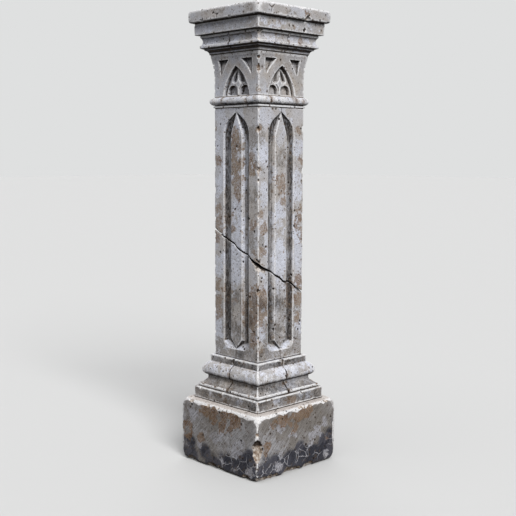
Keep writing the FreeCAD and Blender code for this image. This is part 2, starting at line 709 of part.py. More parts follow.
def column():
    """Every piece by name."""
    plinth_dowel, plinth_hole = tie(0, 0, PLINTH_TOP, DOWEL_DEPTH_IN_BLOCK, DOWEL_DEPTH_IN_SLAB,
                                    DOWEL_DIAMETER)
    base_pins, base_holes = four_ties(BASE_PIN_OFFSET, STEP_TOP, PIN_DEPTH, PIN_DEPTH, PIN_DIAMETER)
    shaft_pins, shaft_holes = four_ties(SHAFT_PIN_OFFSET, BASE_TOP, PIN_DEPTH, PIN_DEPTH, PIN_DIAMETER)
    mending_pins, mending_holes = break_pins()
    capital_dowel, capital_hole = tie(0, 0, RING_TOP, DOWEL_DEPTH_IN_BLOCK, DOWEL_DEPTH_IN_BLOCK,
                                      DOWEL_DIAMETER)
    cornice_pins, cornice_holes = four_ties(CORNICE_PIN_OFFSET, CAPITAL_TOP, PIN_DEPTH, PIN_DEPTH,
                                            PIN_DIAMETER)
    corona_pins, corona_holes = four_ties(CORONA_PIN_OFFSET, CORNICE_TOP, PIN_DEPTH, PIN_DEPTH,
                                          PIN_DIAMETER)
    abacus_dowel, abacus_hole = tie(0, 0, CORONA_TOP, DOWEL_DEPTH_IN_SLAB, DOWEL_DEPTH_IN_SLAB,
                                    DOWEL_DIAMETER)
    base_cramps, base_sinkings = four_cramps(BASE_CRAMP_OFFSET, BASE_TOP)
    cornice_cramps, cornice_sinkings = four_cramps(CORNICE_CRAMP_OFFSET, CORNICE_TOP)

    panels = [turned(panel_sinking(), degrees) for degrees in FACES.values()]
    whole_shaft = shaft().cut(panels).cut([shaft_holes, mending_holes, capital_hole, break_mouth()])
    under = below_break()

    base_half = SHAFT_HALF + BASE_FILLET_PROJECTION
    bed_mould_half = SHAFT_HALF + BED_MOULD_FOOT_PROJECTION
    cornice_half = SHAFT_HALF + CORNICE_TOP_PROJECTION
    pieces = {
        "plinth": plinth(plinth_hole),
        "plinth_bed": bed_joint(SHAFT_HALF + STEP_PROJECTION, PLINTH_TOP, plinth_hole),
        "plinth_dowel": plinth_dowel,
        "base_step": step([plinth_hole, base_holes]),
        "base_bed": bed_joint(SHAFT_HALF + BASE_LIP_PROJECTION, STEP_TOP, base_holes),
        "base_pins": base_pins,
        "base_joints": cross_joint(base_half, BASE_FOOT, BASE_TOP).cut(base_sinkings),
        "base_cramps": base_cramps,
        "shaft_bed": bed_joint(SHAFT_HALF, BASE_TOP, shaft_holes),
        "shaft_pins": shaft_pins,
        "shaft_lower": whole_shaft.common(under),
        "shaft_upper": whole_shaft.cut(under),
        "break_pins": mending_pins,
        "capital_bed": bed_joint(SHAFT_HALF, RING_TOP, capital_hole),
        "capital_dowel": capital_dowel,
        "capital": capital([capital_hole, cornice_holes]),
        "cornice_bed": bed_joint(bed_mould_half, CAPITAL_TOP, cornice_holes),
        "cornice_pins": cornice_pins,
        "cornice_joints": cross_joint(bed_mould_half, CORNICE_FOOT, CORNICE_TOP).cut(cornice_sinkings),
        "cornice_cramps": cornice_cramps,
        "corona_bed": bed_joint(cornice_half, CORNICE_TOP, corona_holes),
        "corona_pins": corona_pins,
        "corona": corona([corona_holes, abacus_hole]),
        "abacus_bed": bed_joint(SHAFT_HALF + CORONA_PROJECTION, CORONA_TOP, abacus_hole),
        "abacus_dowel": abacus_dowel,
        "abacus": abacus(abacus_hole),
    }
    base = base_course().cut([base_holes, shaft_holes, base_sinkings])
    cornice = cornice_course().cut([cornice_holes, corona_holes, cornice_sinkings])
    for corner, stone in corner_stones(base).items():
        pieces["base_stone_" + corner] = stone
    for corner, stone in corner_stones(cornice).items():
        pieces["cornice_stone_" + corner] = stone
    pieces.update(ring_stones())
    pieces.update(ring_mortar())
    return pieces


os.makedirs("parts", exist_ok=True)
for name, shape in column().items():
    solids = shape.Solids
    kept = solids[0] if len(solids) == 1 else Part.makeCompound(solids)
    kept.exportStep("parts/" + name + ".step")
    print(f"{name}: {len(solids)} solid, valid {shape.isValid()}, {kept.Volume / 1000:.1f} cm3")
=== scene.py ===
import math

import bmesh
import bpy
import numpy as np
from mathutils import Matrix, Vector


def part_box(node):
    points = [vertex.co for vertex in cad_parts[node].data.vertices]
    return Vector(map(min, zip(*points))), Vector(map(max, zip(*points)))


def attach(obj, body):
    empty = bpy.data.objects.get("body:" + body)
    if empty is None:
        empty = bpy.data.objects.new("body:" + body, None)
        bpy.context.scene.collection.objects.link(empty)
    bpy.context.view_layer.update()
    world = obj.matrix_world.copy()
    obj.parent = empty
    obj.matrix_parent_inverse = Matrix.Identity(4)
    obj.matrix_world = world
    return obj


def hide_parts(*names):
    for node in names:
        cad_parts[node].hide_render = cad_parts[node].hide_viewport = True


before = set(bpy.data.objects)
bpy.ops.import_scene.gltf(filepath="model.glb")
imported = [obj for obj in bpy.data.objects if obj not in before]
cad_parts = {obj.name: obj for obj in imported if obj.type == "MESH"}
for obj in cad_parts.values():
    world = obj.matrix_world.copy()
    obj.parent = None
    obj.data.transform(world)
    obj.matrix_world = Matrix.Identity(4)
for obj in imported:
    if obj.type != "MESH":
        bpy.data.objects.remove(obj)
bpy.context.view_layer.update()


# The plinth is one heavy block of a greyer, coarser limestone that stands on the ground and carries
# the rest by its weight. It was sawn square and its arrises were rounded by hand. Frost and knocks
# have nibbled the edges, and one big flake has sprung off the front corner.
MM = 0.001


def mottle(places, size, seed):
    """Smooth random values from 0 to 1 that change over about the given size."""
    cells = places / size + 17.31 * seed
    corner = np.floor(cells)
    ease = cells - corner
    ease = ease * ease * (3 - 2 * ease)
    total = np.zeros(len(places))
    for step in np.ndindex(2, 2, 2):
        share = np.prod(np.where(step, ease, 1 - ease), axis=1)
        dice = 43758.5453 * np.sin((corner + step) @ np.array((127.1, 311.7, 74.7)))
        total += share * (dice - np.floor(dice))
    return total


def fade(gap, width, power=2):
    """1 where there is no gap, easing to 0 beyond the width."""
    return np.exp(-(gap / width) ** power)


def ramp(value, low, high):
    """0 at low, 1 at high, and level beyond them."""
    return np.clip((value - low) / (high - low), 0, 1)


def carried(place, quarter):
    """A place or direction of the front face carried round to one of the four faces."""
    x, y, z = place
    for _ in range(quarter):
        x, y = -y, x
    return np.array((x, y, z))


class Skin:
    """The surface of one stone while it weathers: a merged copy of the CAD block in small even facets.
    The sizes of chips, pores, ripples and rubbing are in millimetres, and places and heights in metres."""

    def __init__(self, node, facet):
        facet = facet
        block = bmesh.new()
        block.from_mesh(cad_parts[node].data)
        bmesh.ops.remove_doubles(block, verts=block.verts, dist=0.01 * MM)
        sawn = bpy.data.meshes.new("sawn_" + node)
        block.to_mesh(sawn)
        block.free()
        self.stone = bpy.data.objects.new("worn_" + node, sawn)
        bpy.context.scene.collection.objects.link(self.stone)
        low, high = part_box(node)
        size = max(high - low)
        even = self.stone.modifiers.new("even facets", "REMESH")
        even.mode = "SHARP"
        even.octree_depth = math.ceil(math.log2(size / facet))
        even.scale = size / facet / 2 ** even.octree_depth
        even.use_remove_disconnected = False
        shaped = self.stone.evaluated_get(bpy.context.evaluated_depsgraph_get())
        self.mesh = bpy.data.meshes.new_from_object(shaped)
        self.stone.modifiers.clear()
        self.stone.data = self.mesh
        self.close()
        self.node = node
        self.facet = facet
        self.at = self.read(self.mesh.vertices, "co", np.float32).reshape(-1, 3).astype(float)
        self.lines = self.read(self.mesh.edges, "vertices", np.int32).reshape(-1, 2)
        self.company = np.bincount(self.lines.ravel(), minlength=len(self.at))
        self.marks = {name: np.zeros(len(self.at)) for name in
                      ("fresh", "stain", "pale", "dull", "soot_and_shade", "hollow")}

    def close(self):
        """Cuts out the few spots where the facets pinch, and fills them again."""
        net = bmesh.new()
        net.from_mesh(self.mesh)
        for _ in range(5):
            torn = [edge for edge in net.edges if not edge.is_manifold]
            if not torn:
                break
            around = {face for edge in torn for corner in edge.verts for face in corner.link_faces}
            bmesh.ops.delete(net, geom=list(around), context="FACES")
            rims = [edge for edge in net.edges if edge.is_boundary]
            filled = bmesh.ops.holes_fill(net, edges=rims, sides=0)["faces"]
            bmesh.ops.triangulate(net, faces=filled)
        bmesh.ops.recalc_face_normals(net, faces=net.faces)
        net.to_mesh(self.mesh)
        net.free()

    def read(self, items, what, kind):
        """One value of every item, all in one flat array."""
        width = 2 if what == "vertices" else 3
        values = np.empty(len(items) * width, kind)
        items.foreach_get(what, values)
        return values

    def among(self, values):
        """The mean of the values at the neighbours of each point."""
        first, second = self.lines.T
        mean = [np.bincount(first, column[second], len(values))
                + np.bincount(second, column[first], len(values)) for column in values.T]
        return np.stack(mean, 1) / self.company[:, None]

    def evened(self, values, spread):
        """Values averaged with their neighbours until they have spread about that far, in metres."""
        for _ in range(max(1, round(2.5 * (spread / self.facet) ** 2))):
            values = 0.2 * values + 0.8 * self.among(values)
        return values

    def facing(self):
        """Which way the skin faces at each point."""
        self.mesh.vertices.foreach_set("co", self.at.astype(np.float32).ravel())
        self.mesh.update()
        return self.read(self.mesh.vertex_normals, "vector", np.float32).reshape(-1, 3).astype(float)

    def aside(self):
        """How far each point lies from the middle line of its face."""
        return np.abs(self.at[:, :2]).min(axis=1)

    def note(self, mark, values):
        """Strengthens a mark to the values, where they are stronger."""
        self.marks[mark] = np.maximum(self.marks[mark], values)

    def wear(self, least, most, patch, seed, where=1):
        """Rubs the outer arrises round, over a width that wanders between least and most."""
        width = least + (most - least) * mottle(self.at, patch * MM, seed)
        share = where * (width / most) ** 2
        out = self.facing()
        for _ in range(max(1, round(2.5 * (most * MM / self.facet) ** 2))):
            pull = self.among(self.at) - self.at
            outer = (pull * out).sum(1) < 0
            self.at += 0.8 * pull * (share * outer)[:, None]

    def bite(self, middle, reach, into, rough=0.25, mark="fresh"):
        """Knocks out a shell-shaped flake: skin within reach of the middle is driven in to its far side."""
        reach = reach * MM
        gap = self.at - middle
        near = np.flatnonzero((np.abs(gap) < reach * (1 + rough)).all(axis=1))
        gap = gap[near]
        limit = reach * (1 + rough * (2 * mottle(self.at[near], 0.45 * reach, 3) - 1))
        length = (gap ** 2).sum(1)
        along = gap @ into
        drive = np.sqrt(np.maximum(limit ** 2 - length + along ** 2, 0)) - along
        inside = length < limit ** 2
        self.at[near[inside]] += drive[inside, None] * into
        self.marks[mark][near[inside]] = 1

    def flake(self, place, size, depth, into, rough=0.25, mark="fresh"):
        """Strikes a flake of a size off an arris, as deep as is given."""
        self.bite(place - into * (size - depth) * MM, size, into, rough, mark)

    def chip_level(self, dice, half, height, rise, count, reach, depth):
        """Flakes off a level arris all round: rise is 1 on an upper arris and -1 on a lower one."""
        into = np.array((0, 1, -rise)) / math.sqrt(2)
        for quarter in range(4):
            for _ in range(count):
                size = dice.uniform(*reach)
                place = carried((dice.uniform(-half, half), -half, height), quarter)
                self.flake(place, size, dice.uniform(*depth), carried(into, quarter))

    def chip_upright(self, dice, half, low, high, count, reach, depth):
        """Flakes off the four upright arrises between two heights."""
        into = np.array((-1, 1, 0)) / math.sqrt(2)
        for quarter in range(4):
            for _ in range(count):
                size = dice.uniform(*reach)
                place = carried((half, -half, dice.uniform(low, high)), quarter)
                self.flake(place, size, dice.uniform(*depth), carried(into, quarter))

    def round_upright(self, half, radius):
        """Rubs the four upright arrises to a radius."""
        radius = radius * MM
        over = np.abs(self.at[:, :2]) - (half - radius)
        reach = np.maximum(np.linalg.norm(over, axis=1), 1e-9)
        outer = (over > 0).all(1) & (reach > radius)
        back = np.sign(self.at[:, :2]) * over * (1 - radius / reach)[:, None]
        self.at[outer, :2] -= back[outer]

    def pit(self, dice, count, reach):
        """Pores of the stone that have opened at the surface."""
        out = self.facing()
        for spot in dice.integers(0, len(self.at), count):
            size = reach[0] + (reach[1] - reach[0]) * dice.random() ** 3
            self.bite(self.at[spot] + 0.45 * size * MM * out[spot], size, -out[spot], mark="soot_and_shade")

    def darken_joint(self, width):
        """Soil along the upright joint in the middle of each face."""
        wander = 1.2 * MM * (2 * mottle(self.at, 9 * MM, 31) - 1)
        self.note("soot_and_shade", fade(self.aside() + wander, width * MM))

    def crack(self, corners, depth):
        """An open crack along a run of places, in millimetres, sunk by the depth and dark with soil."""
        out = self.facing()
        for start, end in zip(corners, corners[1:]):
            run = (np.array(end) - start) * MM
            start = np.array(start) * MM
            wander = 1.5 * MM * (2 * mottle(self.at, 6 * MM, 33) - 1)[:, None]
            along = np.clip((self.at - start) @ run / (run @ run), 0, 1)
            gap = np.linalg.norm(self.at + wander - start - along[:, None] * run, axis=1)
            near = fade(gap, 1.7 * MM)
            self.note("soot_and_shade", 0.8 * near)
            self.at -= out * (depth * MM * near)[:, None]

    def ripple(self, height, size, seed):
        """The unevenness that the chisel and the weather leave on a face."""
        self.at += self.facing() * (height * MM * (2 * mottle(self.at, size * MM, seed) - 1))[:, None]

    def soak(self, mark, spots):
        """Marks places, each with its reach, on the two seen faces and again on the two behind them.
        All are in millimetres."""
        for x, y, z, reach in spots:
            for side in (1, -1):
                gap = self.at - np.array((side * x, side * y, z)) * MM
                self.note(mark, fade(np.linalg.norm(gap, axis=1), reach * MM))

    def edges(self, reach, faces=2):
        """How near each point is to where two or three faces of the block meet: 1 there and 0 far off."""
        low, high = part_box(self.node)
        near = np.sort(np.minimum(self.at - np.array(low), np.array(high) - self.at), axis=1)
        return fade(np.maximum(near[:, faces - 1], 0), reach * MM)

    def lay(self, finish, slot, grime_and_shade=1.0, spare=0, edge=0):
        """Sets the stone in the column with its finish, and notes where it is rubbed, hollow or broken. The
        hollow and soot marks also paint shade into recesses and onto faces that look down.
        """
        out = self.facing()
        rubbed = ((self.at - self.evened(self.at, 2.6 * MM)) * out).sum(1)
        nook = self.evened(self.at, 4 * MM)
        deep = self.evened(nook, 8 * MM) - self.at
        nook -= self.at
        aim = self.evened(out, 7 * MM)
        aim /= np.maximum(np.linalg.norm(aim, axis=1), 1e-6)[:, None]
        broken = np.maximum(self.marks["fresh"], self.marks["soot_and_shade"])
        broken = np.clip(3 * self.evened(broken[:, None], 3 * MM)[:, 0], 0, 1)
        rubbed = np.clip(rubbed / (0.8 * MM), 0, 1) * (1 - spare) * (1 - 0.65 * broken)
        self.marks["arris"] = np.maximum(rubbed, edge)
        # Concave places get the hollow mark, which paints the shade in recesses along with their grime;
        # faces that look up are kept clear of it.
        washed = np.clip(1.4 * out[:, 2], 0, 1)
        sunk = ramp((nook * aim).sum(1), 0, 1.7 * MM)
        sunk = np.maximum(sunk, 0.75 * ramp((deep * aim).sum(1), 0, 4 * MM))
        self.note("hollow", grime_and_shade * (1 - washed) * (1 - spare) * sunk)
        # Faces that look down get the hollow mark too, and the steepest of them soot: both paint the shade
        # beneath things.
        self.note("hollow", 0.95 * np.clip(-1.6 * out[:, 2] - 0.3, 0, 1))
        soffit = np.clip(-2 * out[:, 2] - 0.8, 0, 1) * (1 - self.marks["fresh"]) * (1 - self.marks["stain"])
        self.note("soot_and_shade", 0.75 * soffit)
        self.marks["fresh"] = self.evened(self.marks["fresh"][:, None], self.facet)[:, 0]
        for mark, values in self.marks.items():
            kept = self.mesh.attributes.new(mark, "FLOAT", "POINT")
            kept.data.foreach_set("value", values.astype(np.float32))
        self.mesh.materials.clear()
        self.mesh.materials.append(finish)
        self.mesh.shade_smooth()
        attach(self.stone, "root")
        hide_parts(self.node)


def paint(red, green, blue, light=1.0):
    """A colour as the eye reads it, from 0 to 255 and times a light, in the values that a shader takes."""
    return tuple(((light * v / 255 + 0.055) / 1.055) ** 2.4 for v in (red, green, blue)) + (1.0,)


def add(tree, kind, feeds, out=0, **settings):
    """Adds a shader node, sets or links its inputs, and gives one of its outputs."""
    node = tree.nodes.new("ShaderNode" + kind)
    for key, value in settings.items():
        setattr(node, key, value)
    for key, value in feeds.items():
        if isinstance(value, bpy.types.NodeSocket):
            tree.links.new(value, node.inputs[key])
        else:
            node.inputs[key].default_value = value
    return node.outputs[out]


def work(tree, operation, *values):
    """Does a sum with sockets or numbers."""
    return add(tree, "Math", dict(enumerate(values)), operation=operation)


def times(tree, first, second):
    """Two values multiplied."""
    return work(tree, "MULTIPLY", first, second)


def grain(tree, place, scale, detail=2.0, rough=0.5):
    """Cloudy noise of a given scale."""
    return add(tree, "TexNoise", {"Vector": place, "Scale": scale, "Detail": detail, "Roughness": rough})


def weigh(tree, first, *others):
    """First socket plus each other socket times its weight, moved so that 0.5 adds nothing."""
    total = first
    for socket, weight in others:
        swing = work(tree, "MULTIPLY_ADD", socket, weight, -0.5 * weight)
        total = work(tree, "ADD", total, swing)
    return total


def band(tree, value, low, high, top=1.0):
    """Eases from 0 at low to top at high."""
    return add(tree, "MapRange", {"Value": value, "From Min": low, "From Max": high, "To Max": top},
               interpolation_type="SMOOTHSTEP")


def cover(tree, share, under, over, blend="MIX"):
    """Lays one colour over another."""
    return add(tree, "Mix", {0: share, 6: under, 7: over}, 2, data_type="RGBA", blend_type=blend)


def tones(tree, value, *stops):
    """Colours that follow a value through (value, colour) stops."""
    node = tree.nodes.new("ShaderNodeValToRGB")
    tree.links.new(value, node.inputs[0])
    row = node.color_ramp.elements
    for number, (at, colour) in enumerate(stops):
        stop = row[number] if number < 2 else row.new(at)
        stop.position = at
        stop.color = colour
    return node.outputs[0]


def mark(tree, name):
    """What the weathering noted on the stone under this name."""
    return add(tree, "Attribute", {}, 2, attribute_name=name)


def cells(tree, place, scale, out=1, feature="F1"):
    """Patches with a random value each, or how far a place is from the middle or the edge of its patch."""
    return add(tree, "TexVoronoi", {"Vector": place, "Scale": scale}, out, feature=feature)


def stirred(tree, place, scale, amount):
    """Places pushed about, so that what is drawn there gets ragged edges."""
    push = add(tree, "TexNoise", {"Vector": place, "Scale": scale, "Detail": 3.0}, 1)
    push = add(tree, "VectorMath", {0: push, 1: (0.5, 0.5, 0.5)}, operation="SUBTRACT")
    return add(tree, "VectorMath", {0: push, 1: (amount,) * 3, 2: place}, operation="MULTIPLY_ADD")


def patched(tree, place, body, name, lobe, tint, heart, share, fray=0.7):
    """A marked patch with a ragged, lobed edge, whose tint is broken by a second one."""
    fine = band(tree, grain(tree, place, 70.0, 4.0, 0.65), 0.3, 0.7)
    hold = work(tree, "MINIMUM", mark(tree, name), 0.66)
    ragged = weigh(tree, hold, (lobe, 0.9 - 0.5 * fray), (fine, fray))
    broken = tones(tree, grain(tree, place, 260.0, 4.0, 0.7), (0.36, (0.35,) * 3 + (1,)), (0.56, (1,) * 4))
    patch = times(tree, band(tree, ragged, 0.4, 0.53, share), broken)
    mixed = cover(tree, band(tree, grain(tree, place, 45.0, 4.0, 0.6), 0.5, 0.62), tint, heart)
    return cover(tree, patch, body, mixed)


def off_middle(tree, place):
    """How far a place lies from the middle line of its face."""
    x, y = [work(tree, "ABSOLUTE", add(tree, "SeparateXYZ", {0: place}, n)) for n in (0, 1)]
    return work(tree, "MINIMUM", x, y)


def rubbed_grimed_and_shaded(tree, place, body, grime_and_shade, pale, hurt, rub, fall):
    """Grime and painted shade in the hollows and on undersides, drawn out downwards by a small fall, pale
    rubbed arrises, cleaner flakes, and soot that also paints shade.
    """
    fine = grain(tree, place, 140.0, 3.0, 0.6)
    runs = add(tree, "VectorMath", {0: place, 1: (1.0, 1.0, fall)}, operation="MULTIPLY")
    hollow = weigh(tree, mark(tree, "hollow"), (grain(tree, runs, 150.0, 4.0, 0.65), 0.7),
                   (grain(tree, runs, 40.0, 3.0), 0.5))
    broken = tones(tree, grain(tree, runs, 230.0, 4.0, 0.7), (0.4, (0.7,) * 3 + (1,)), (0.56, (1,) * 4))
    body = cover(tree, times(tree, band(tree, hollow, 0.06, 0.8), broken), body, grime_and_shade)
    fresh = weigh(tree, mark(tree, "fresh"), (fine, 0.9))
    body = cover(tree, band(tree, fresh, 0.45, 0.8, 0.8), body, hurt)
    arris = weigh(tree, mark(tree, "arris"), (grain(tree, place, 55.0, 4.0, 0.6), 1.1))
    body = cover(tree, band(tree, arris, 0.9 - rub, 1.3 - rub, rub), body, pale)
    soot_and_shade = weigh(tree, mark(tree, "soot_and_shade"), (fine, 0.4))
    return cover(tree, band(tree, soot_and_shade, 0.25, 0.65, 0.95), body, paint(44, 35, 29))


def pored(tree, place, body, size, halo, hole):
    """Open pores, each in a small brown halo. Gives the colour and how deep the pores are."""
    ragged_place = stirred(tree, place, 350.0, 2.5 * MM)
    depth = 0.0
    for share, width in ((1.0, 0.19), (2.5, 0.14)):
        spot = cells(tree, ragged_place, 1 / (share * size), 0)
        chosen = band(tree, cells(tree, ragged_place, 1 / (share * size), 1), 0.42, 0.6)
        heart = times(tree, band(tree, spot, width, 0.6 * width), chosen)
        ring = times(tree, band(tree, spot, 2.2 * width, width), chosen)
        body = cover(tree, times(tree, ring, 0.35), body, halo)
        body = cover(tree, times(tree, heart, 0.95), body, hole)
        depth = work(tree, "MAXIMUM", heart, depth)
    return body, depth


def stone_shader(name):
    """A bare material, its tree, its shader and the places on the object."""
    material = bpy.data.materials.new(name)
    material.use_nodes = True
    tree = material.node_tree
    shader = tree.nodes["Principled BSDF"]
    shader.inputs["Specular IOR Level"].default_value = 0.05
    return material, tree, shader, add(tree, "TexCoord", {}, 3)


def finished(tree, shader, place, body, depth, strength):
    """Speckle over the colour, and the roughness and bump of sawn, weathered stone."""
    speckle = grain(tree, place, 420.0, 6.0, 0.75)
    shade = tones(tree, speckle, (0.33, paint(142, 140, 138)), (0.44, paint(226, 225, 225)),
                  (0.6, paint(255, 255, 255)))
    body = cover(tree, 1.0, body, shade, "MULTIPLY")
    tree.links.new(body, shader.inputs["Base Color"])
    tree.links.new(band(tree, speckle, 0.3, 0.7, 0.95), shader.inputs["Roughness"])
    height = weigh(tree, speckle, (grain(tree, place, 150.0, 4.0, 0.6), 1.2), (depth, -1.6))
    bump = add(tree, "Bump", {"Strength": strength, "Distance": 0.8 * MM, "Height": height})
    tree.links.new(bump, shader.inputs["Normal"])


plinth_stone, tree, shader, place = stone_shader("plinth_stone")
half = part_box("plinth")[1].x
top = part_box("plinth")[1].z
ragged_place = stirred(tree, place, 70.0, 10 * MM)
lobe = cells(tree, ragged_place, 45.0)
cloud = grain(tree, place, 9.0, 3.0)
x, y, height = [add(tree, "SeparateXYZ", {0: place}, n) for n in range(3)]
body = tones(tree, weigh(tree, cloud, (lobe, 0.4)), (0.32, paint(137, 132, 127)),
             (0.5, paint(153, 150, 149)), (0.66, paint(171, 170, 172)))
damp = add(tree, "MapRange", {"Value": height, "From Max": top, "To Min": 0.05, "To Max": -1.0})
damp = weigh(tree, damp, (lobe, 0.5), (cloud, 0.6), (mark(tree, "dull"), 0.9))
damp = work(tree, "ADD", damp, 0.49)
# The plinth darkens towards the bottom into bluish tones, whose blue tint is painted cool light.
damp_in_cool_light = tones(tree, cells(tree, stirred(tree, place, 90.0, 8 * MM), 38.0), (0.2, paint(40, 42, 54)),
            (0.5, paint(58, 60, 71)), (0.8, paint(80, 80, 89)))
body = cover(tree, band(tree, damp, -0.08, 0.38, 0.92), body, damp_in_cool_light)
body = patched(tree, place, body, "pale", lobe, paint(182, 182, 189), paint(168, 167, 171), 0.9, 0.4)
body = patched(tree, place, body, "stain", lobe, paint(138, 115, 94), paint(114, 85, 61), 1.0, 0.35)
level = work(tree, "ADD", x, y)
slant = add(tree, "CombineXYZ", {0: times(tree, work(tree, "ADD", level, height), 30.0),
                                 1: times(tree, work(tree, "SUBTRACT", level, height), 210.0)})
streak = tones(tree, grain(tree, slant, 1.0, 3.0), (0.34, paint(206, 204, 202)), (0.6, paint(255, 255, 255)))
body = cover(tree, 1.0, body, streak, "MULTIPLY")
vein = cells(tree, stirred(tree, place, 45.0, 18 * MM), 42.0, 0, "DISTANCE_TO_EDGE")
veined = times(tree, band(tree, height, 75 * MM, 45 * MM), band(tree, grain(tree, place, 16.0), 0.47, 0.58))
vein = times(tree, band(tree, vein, 0.034, 0.01), veined)
body = cover(tree, times(tree, vein, 0.7), body, paint(204, 203, 207))
scallop = cells(tree, stirred(tree, place, 110.0, 5 * MM), 38.0, 0)
broken = band(tree, grain(tree, place, 24.0), 0.42, 0.55)
beaded = band(tree, grain(tree, place, 85.0), 0.36, 0.52)
upright = work(tree, "SUBTRACT", half, off_middle(tree, place))
for more in (band(tree, height, top - 28 * MM, top - 4 * MM, 8 * MM),
             band(tree, times(tree, x, y), 0.0, 0.002, 5 * MM)):
    upright = work(tree, "SUBTRACT", upright, more)
for gap, least, deep, most in ((work(tree, "SUBTRACT", top, height), 0.5, 12, 0.95),
                               (upright, 2.6, 6, times(tree, beaded, 0.95)),
                               (height, 0, 6, times(tree, broken, 0.6))):
    edge = work(tree, "MULTIPLY_ADD", scallop, -deep * MM, gap)
    body = cover(tree, band(tree, edge, (least + 1) * MM, least * MM, most), body, paint(230, 229, 229))
upper = weigh(tree, height, (grain(tree, place, 120.0), 2 * MM))
body = cover(tree, band(tree, upper, top - 1.6 * MM, top - 0.6 * MM, 0.8), body, paint(198, 189, 182))
hurt = tones(tree, grain(tree, place, 150.0, 5.0), (0.38, paint(132, 110, 90)), (0.5, paint(176, 160, 143)),
             (0.62, paint(216, 208, 199)))
# The grime colour also paints the shade in the plinth's hollows and on its undersides.
body = rubbed_grimed_and_shaded(tree, place, body, paint(80, 73, 68), paint(226, 224, 221), hurt, 0.55, 1.0)
body, depth = pored(tree, place, body, 9 * MM, paint(112, 96, 80), paint(50, 44, 40))
finished(tree, shader, place, body, depth, 0.6)

plinth = Skin("plinth", 2.0 * MM)
dice = np.random.default_rng(11)
plinth.wear(1.5, 4, 30, 1)
plinth.wear(9, 9, 30, 1, plinth.edges(20, 3))
plinth.chip_level(dice, half, top, 1, 5, (9, 16), (4.5, 6.5))
plinth.chip_level(dice, half, top, 1, 12, (3, 5), (4, 6.5))
plinth.chip_level(dice, half, 0, -1, 10, (9, 17), (11, 16))
plinth.chip_upright(dice, half, 0.1 * top, 0.95 * top, 8, (4, 8), (4.5, 7))
inward = np.array((-1, 1, 0)) / math.sqrt(2)
# How far the hand-rounded arris lies inside the sharp corner, in millimetres
ROUNDED_OFF = 3.5
for up, size, deep in ((95, 6.5, 6), (91, 11, 10.5), (86, 14, 13), (80, 15.5, 14), (74, 15, 13.5),
                       (68, 13, 11.5), (62, 10.5, 9), (56, 8, 6.5), (51, 5.5, 4.5)):
    corner = np.array((half, -half, up * MM))
    plinth.flake(corner, size, deep + ROUNDED_OFF, inward, 0.2)
plinth.pit(dice, 320, (1.2, 3.6))
plinth.ripple(0.5, 26, 2)
plinth.ripple(0.25, 7, 3)
plinth.soak("stain", [(-42, -138, 141, 22), (-1, -138, 140, 28), (27, -138, 140, 26), (62, -138, 131, 20),
                      (9, -138, 120, 24), (-16, -138, 126, 22), (-118, -138, 76, 22), (-65, -138, 65, 14),
                      (138, 31, 145, 26), (138, -1, 138, 24), (138, -18, 125, 22), (138, -11, 110, 16),
                      (138, -53, 139, 18), (138, -80, 135, 14), (138, -106, 80, 13)])
plinth.soak("pale", [(69, -138, 69, 18), (59, -138, 54, 12), (87, -138, 85, 14), (2, -138, 90, 20),
                     (-13, -138, 79, 18), (-67, -138, 52, 14), (111, -138, 18, 12), (23, -138, 26, 12),
                     (-92, -138, 120, 18), (138, 54, 72, 14), (138, 72, 84, 15), (138, 47, 58, 9),
                     (138, -18, 92, 16), (138, 98, 100, 16), (138, -62, 53, 12), (138, -65, 24, 12),
                     (138, -60, 118, 18), (138, 103, 23, 12)])
plinth.soak("dull", [(90, -138, 40, 30), (62, -138, 13, 34), (111, -138, 60, 22), (117, -138, 27, 26),
                     (30, -138, 20, 30), (-17, -138, 13, 26), (-46, -138, 36, 24), (-100, -138, 19, 26),
                     (-99, -138, 50, 20), (138, 113, 72, 30), (138, 91, 49, 32), (138, 54, 34, 30),
                     (138, 7, 50, 28), (138, 92, 18, 34), (138, -28, 38, 30), (138, -79, 38, 28),
                     (138, -112, 24, 26), (138, 114, 28, 30), (138, 128, 100, 20), (138, 30, 20, 36),
                     (138, -50, 12, 36), (138, 118, 60, 34), (138, 96, 36, 36)])
spall = (plinth.at - (half, -half, 76 * MM)) / (np.array((22, 22, 34)) * MM)
spall = np.exp(-(spall ** 4).sum(1))
# The upper part of the spall is marked with soot, which paints the shade under its top.
shade = ramp(plinth.at[:, 2], 80 * MM, 92 * MM) * (0.5 + mottle(plinth.at, 5 * MM, 44))
plinth.note("soot_and_shade", 0.9 * spall * shade * plinth.marks["fresh"])
arris = fade(half - plinth.aside() - ROUNDED_OFF * MM, 2.5 * MM) * mottle(plinth.at, 9 * MM, 46)
edge = np.maximum(0.8 * plinth.edges(16, 3), arris) * (1 - spall)
plinth.lay(plinth_stone, "plinth_stone", spare=spall, edge=edge)


# The mortar is lime and sand, laid in thin beds between the courses and in the upright joints of the
# stones that are cut in several pieces. It was raked back behind the faces. It comes in two copies that
# differ only in lightness: the darker one paints shade into most beds and joints, and the lighter one is
# laid round the ring.
for name, light, nodes in (
        ("shaded_mortar", 0.72, ("plinth_bed", "base_bed", "base_joints", "shaft_bed", "ring_joints",
                                 "cornice_bed", "cornice_joints", "corona_bed", "abacus_bed")),
        ("lighter_mortar", 1.3, ("ring_bed", "ring_collar", "capital_bed"))):
    mortar, tree, shader, place = stone_shader(name)
    body = tones(tree, grain(tree, place, 90.0, 5.0, 0.65), (0.35, paint(84, 74, 65, light)),
                 (0.55, paint(112, 101, 91, light)), (0.7, paint(140, 130, 120, light)))
    body, depth = pored(tree, place, body, 5 * MM, paint(60, 48, 38), paint(30, 25, 21))
    finished(tree, shader, place, body, depth, 0.8)
    for node in nodes:
        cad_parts[node].material_slots[0].material = mortar


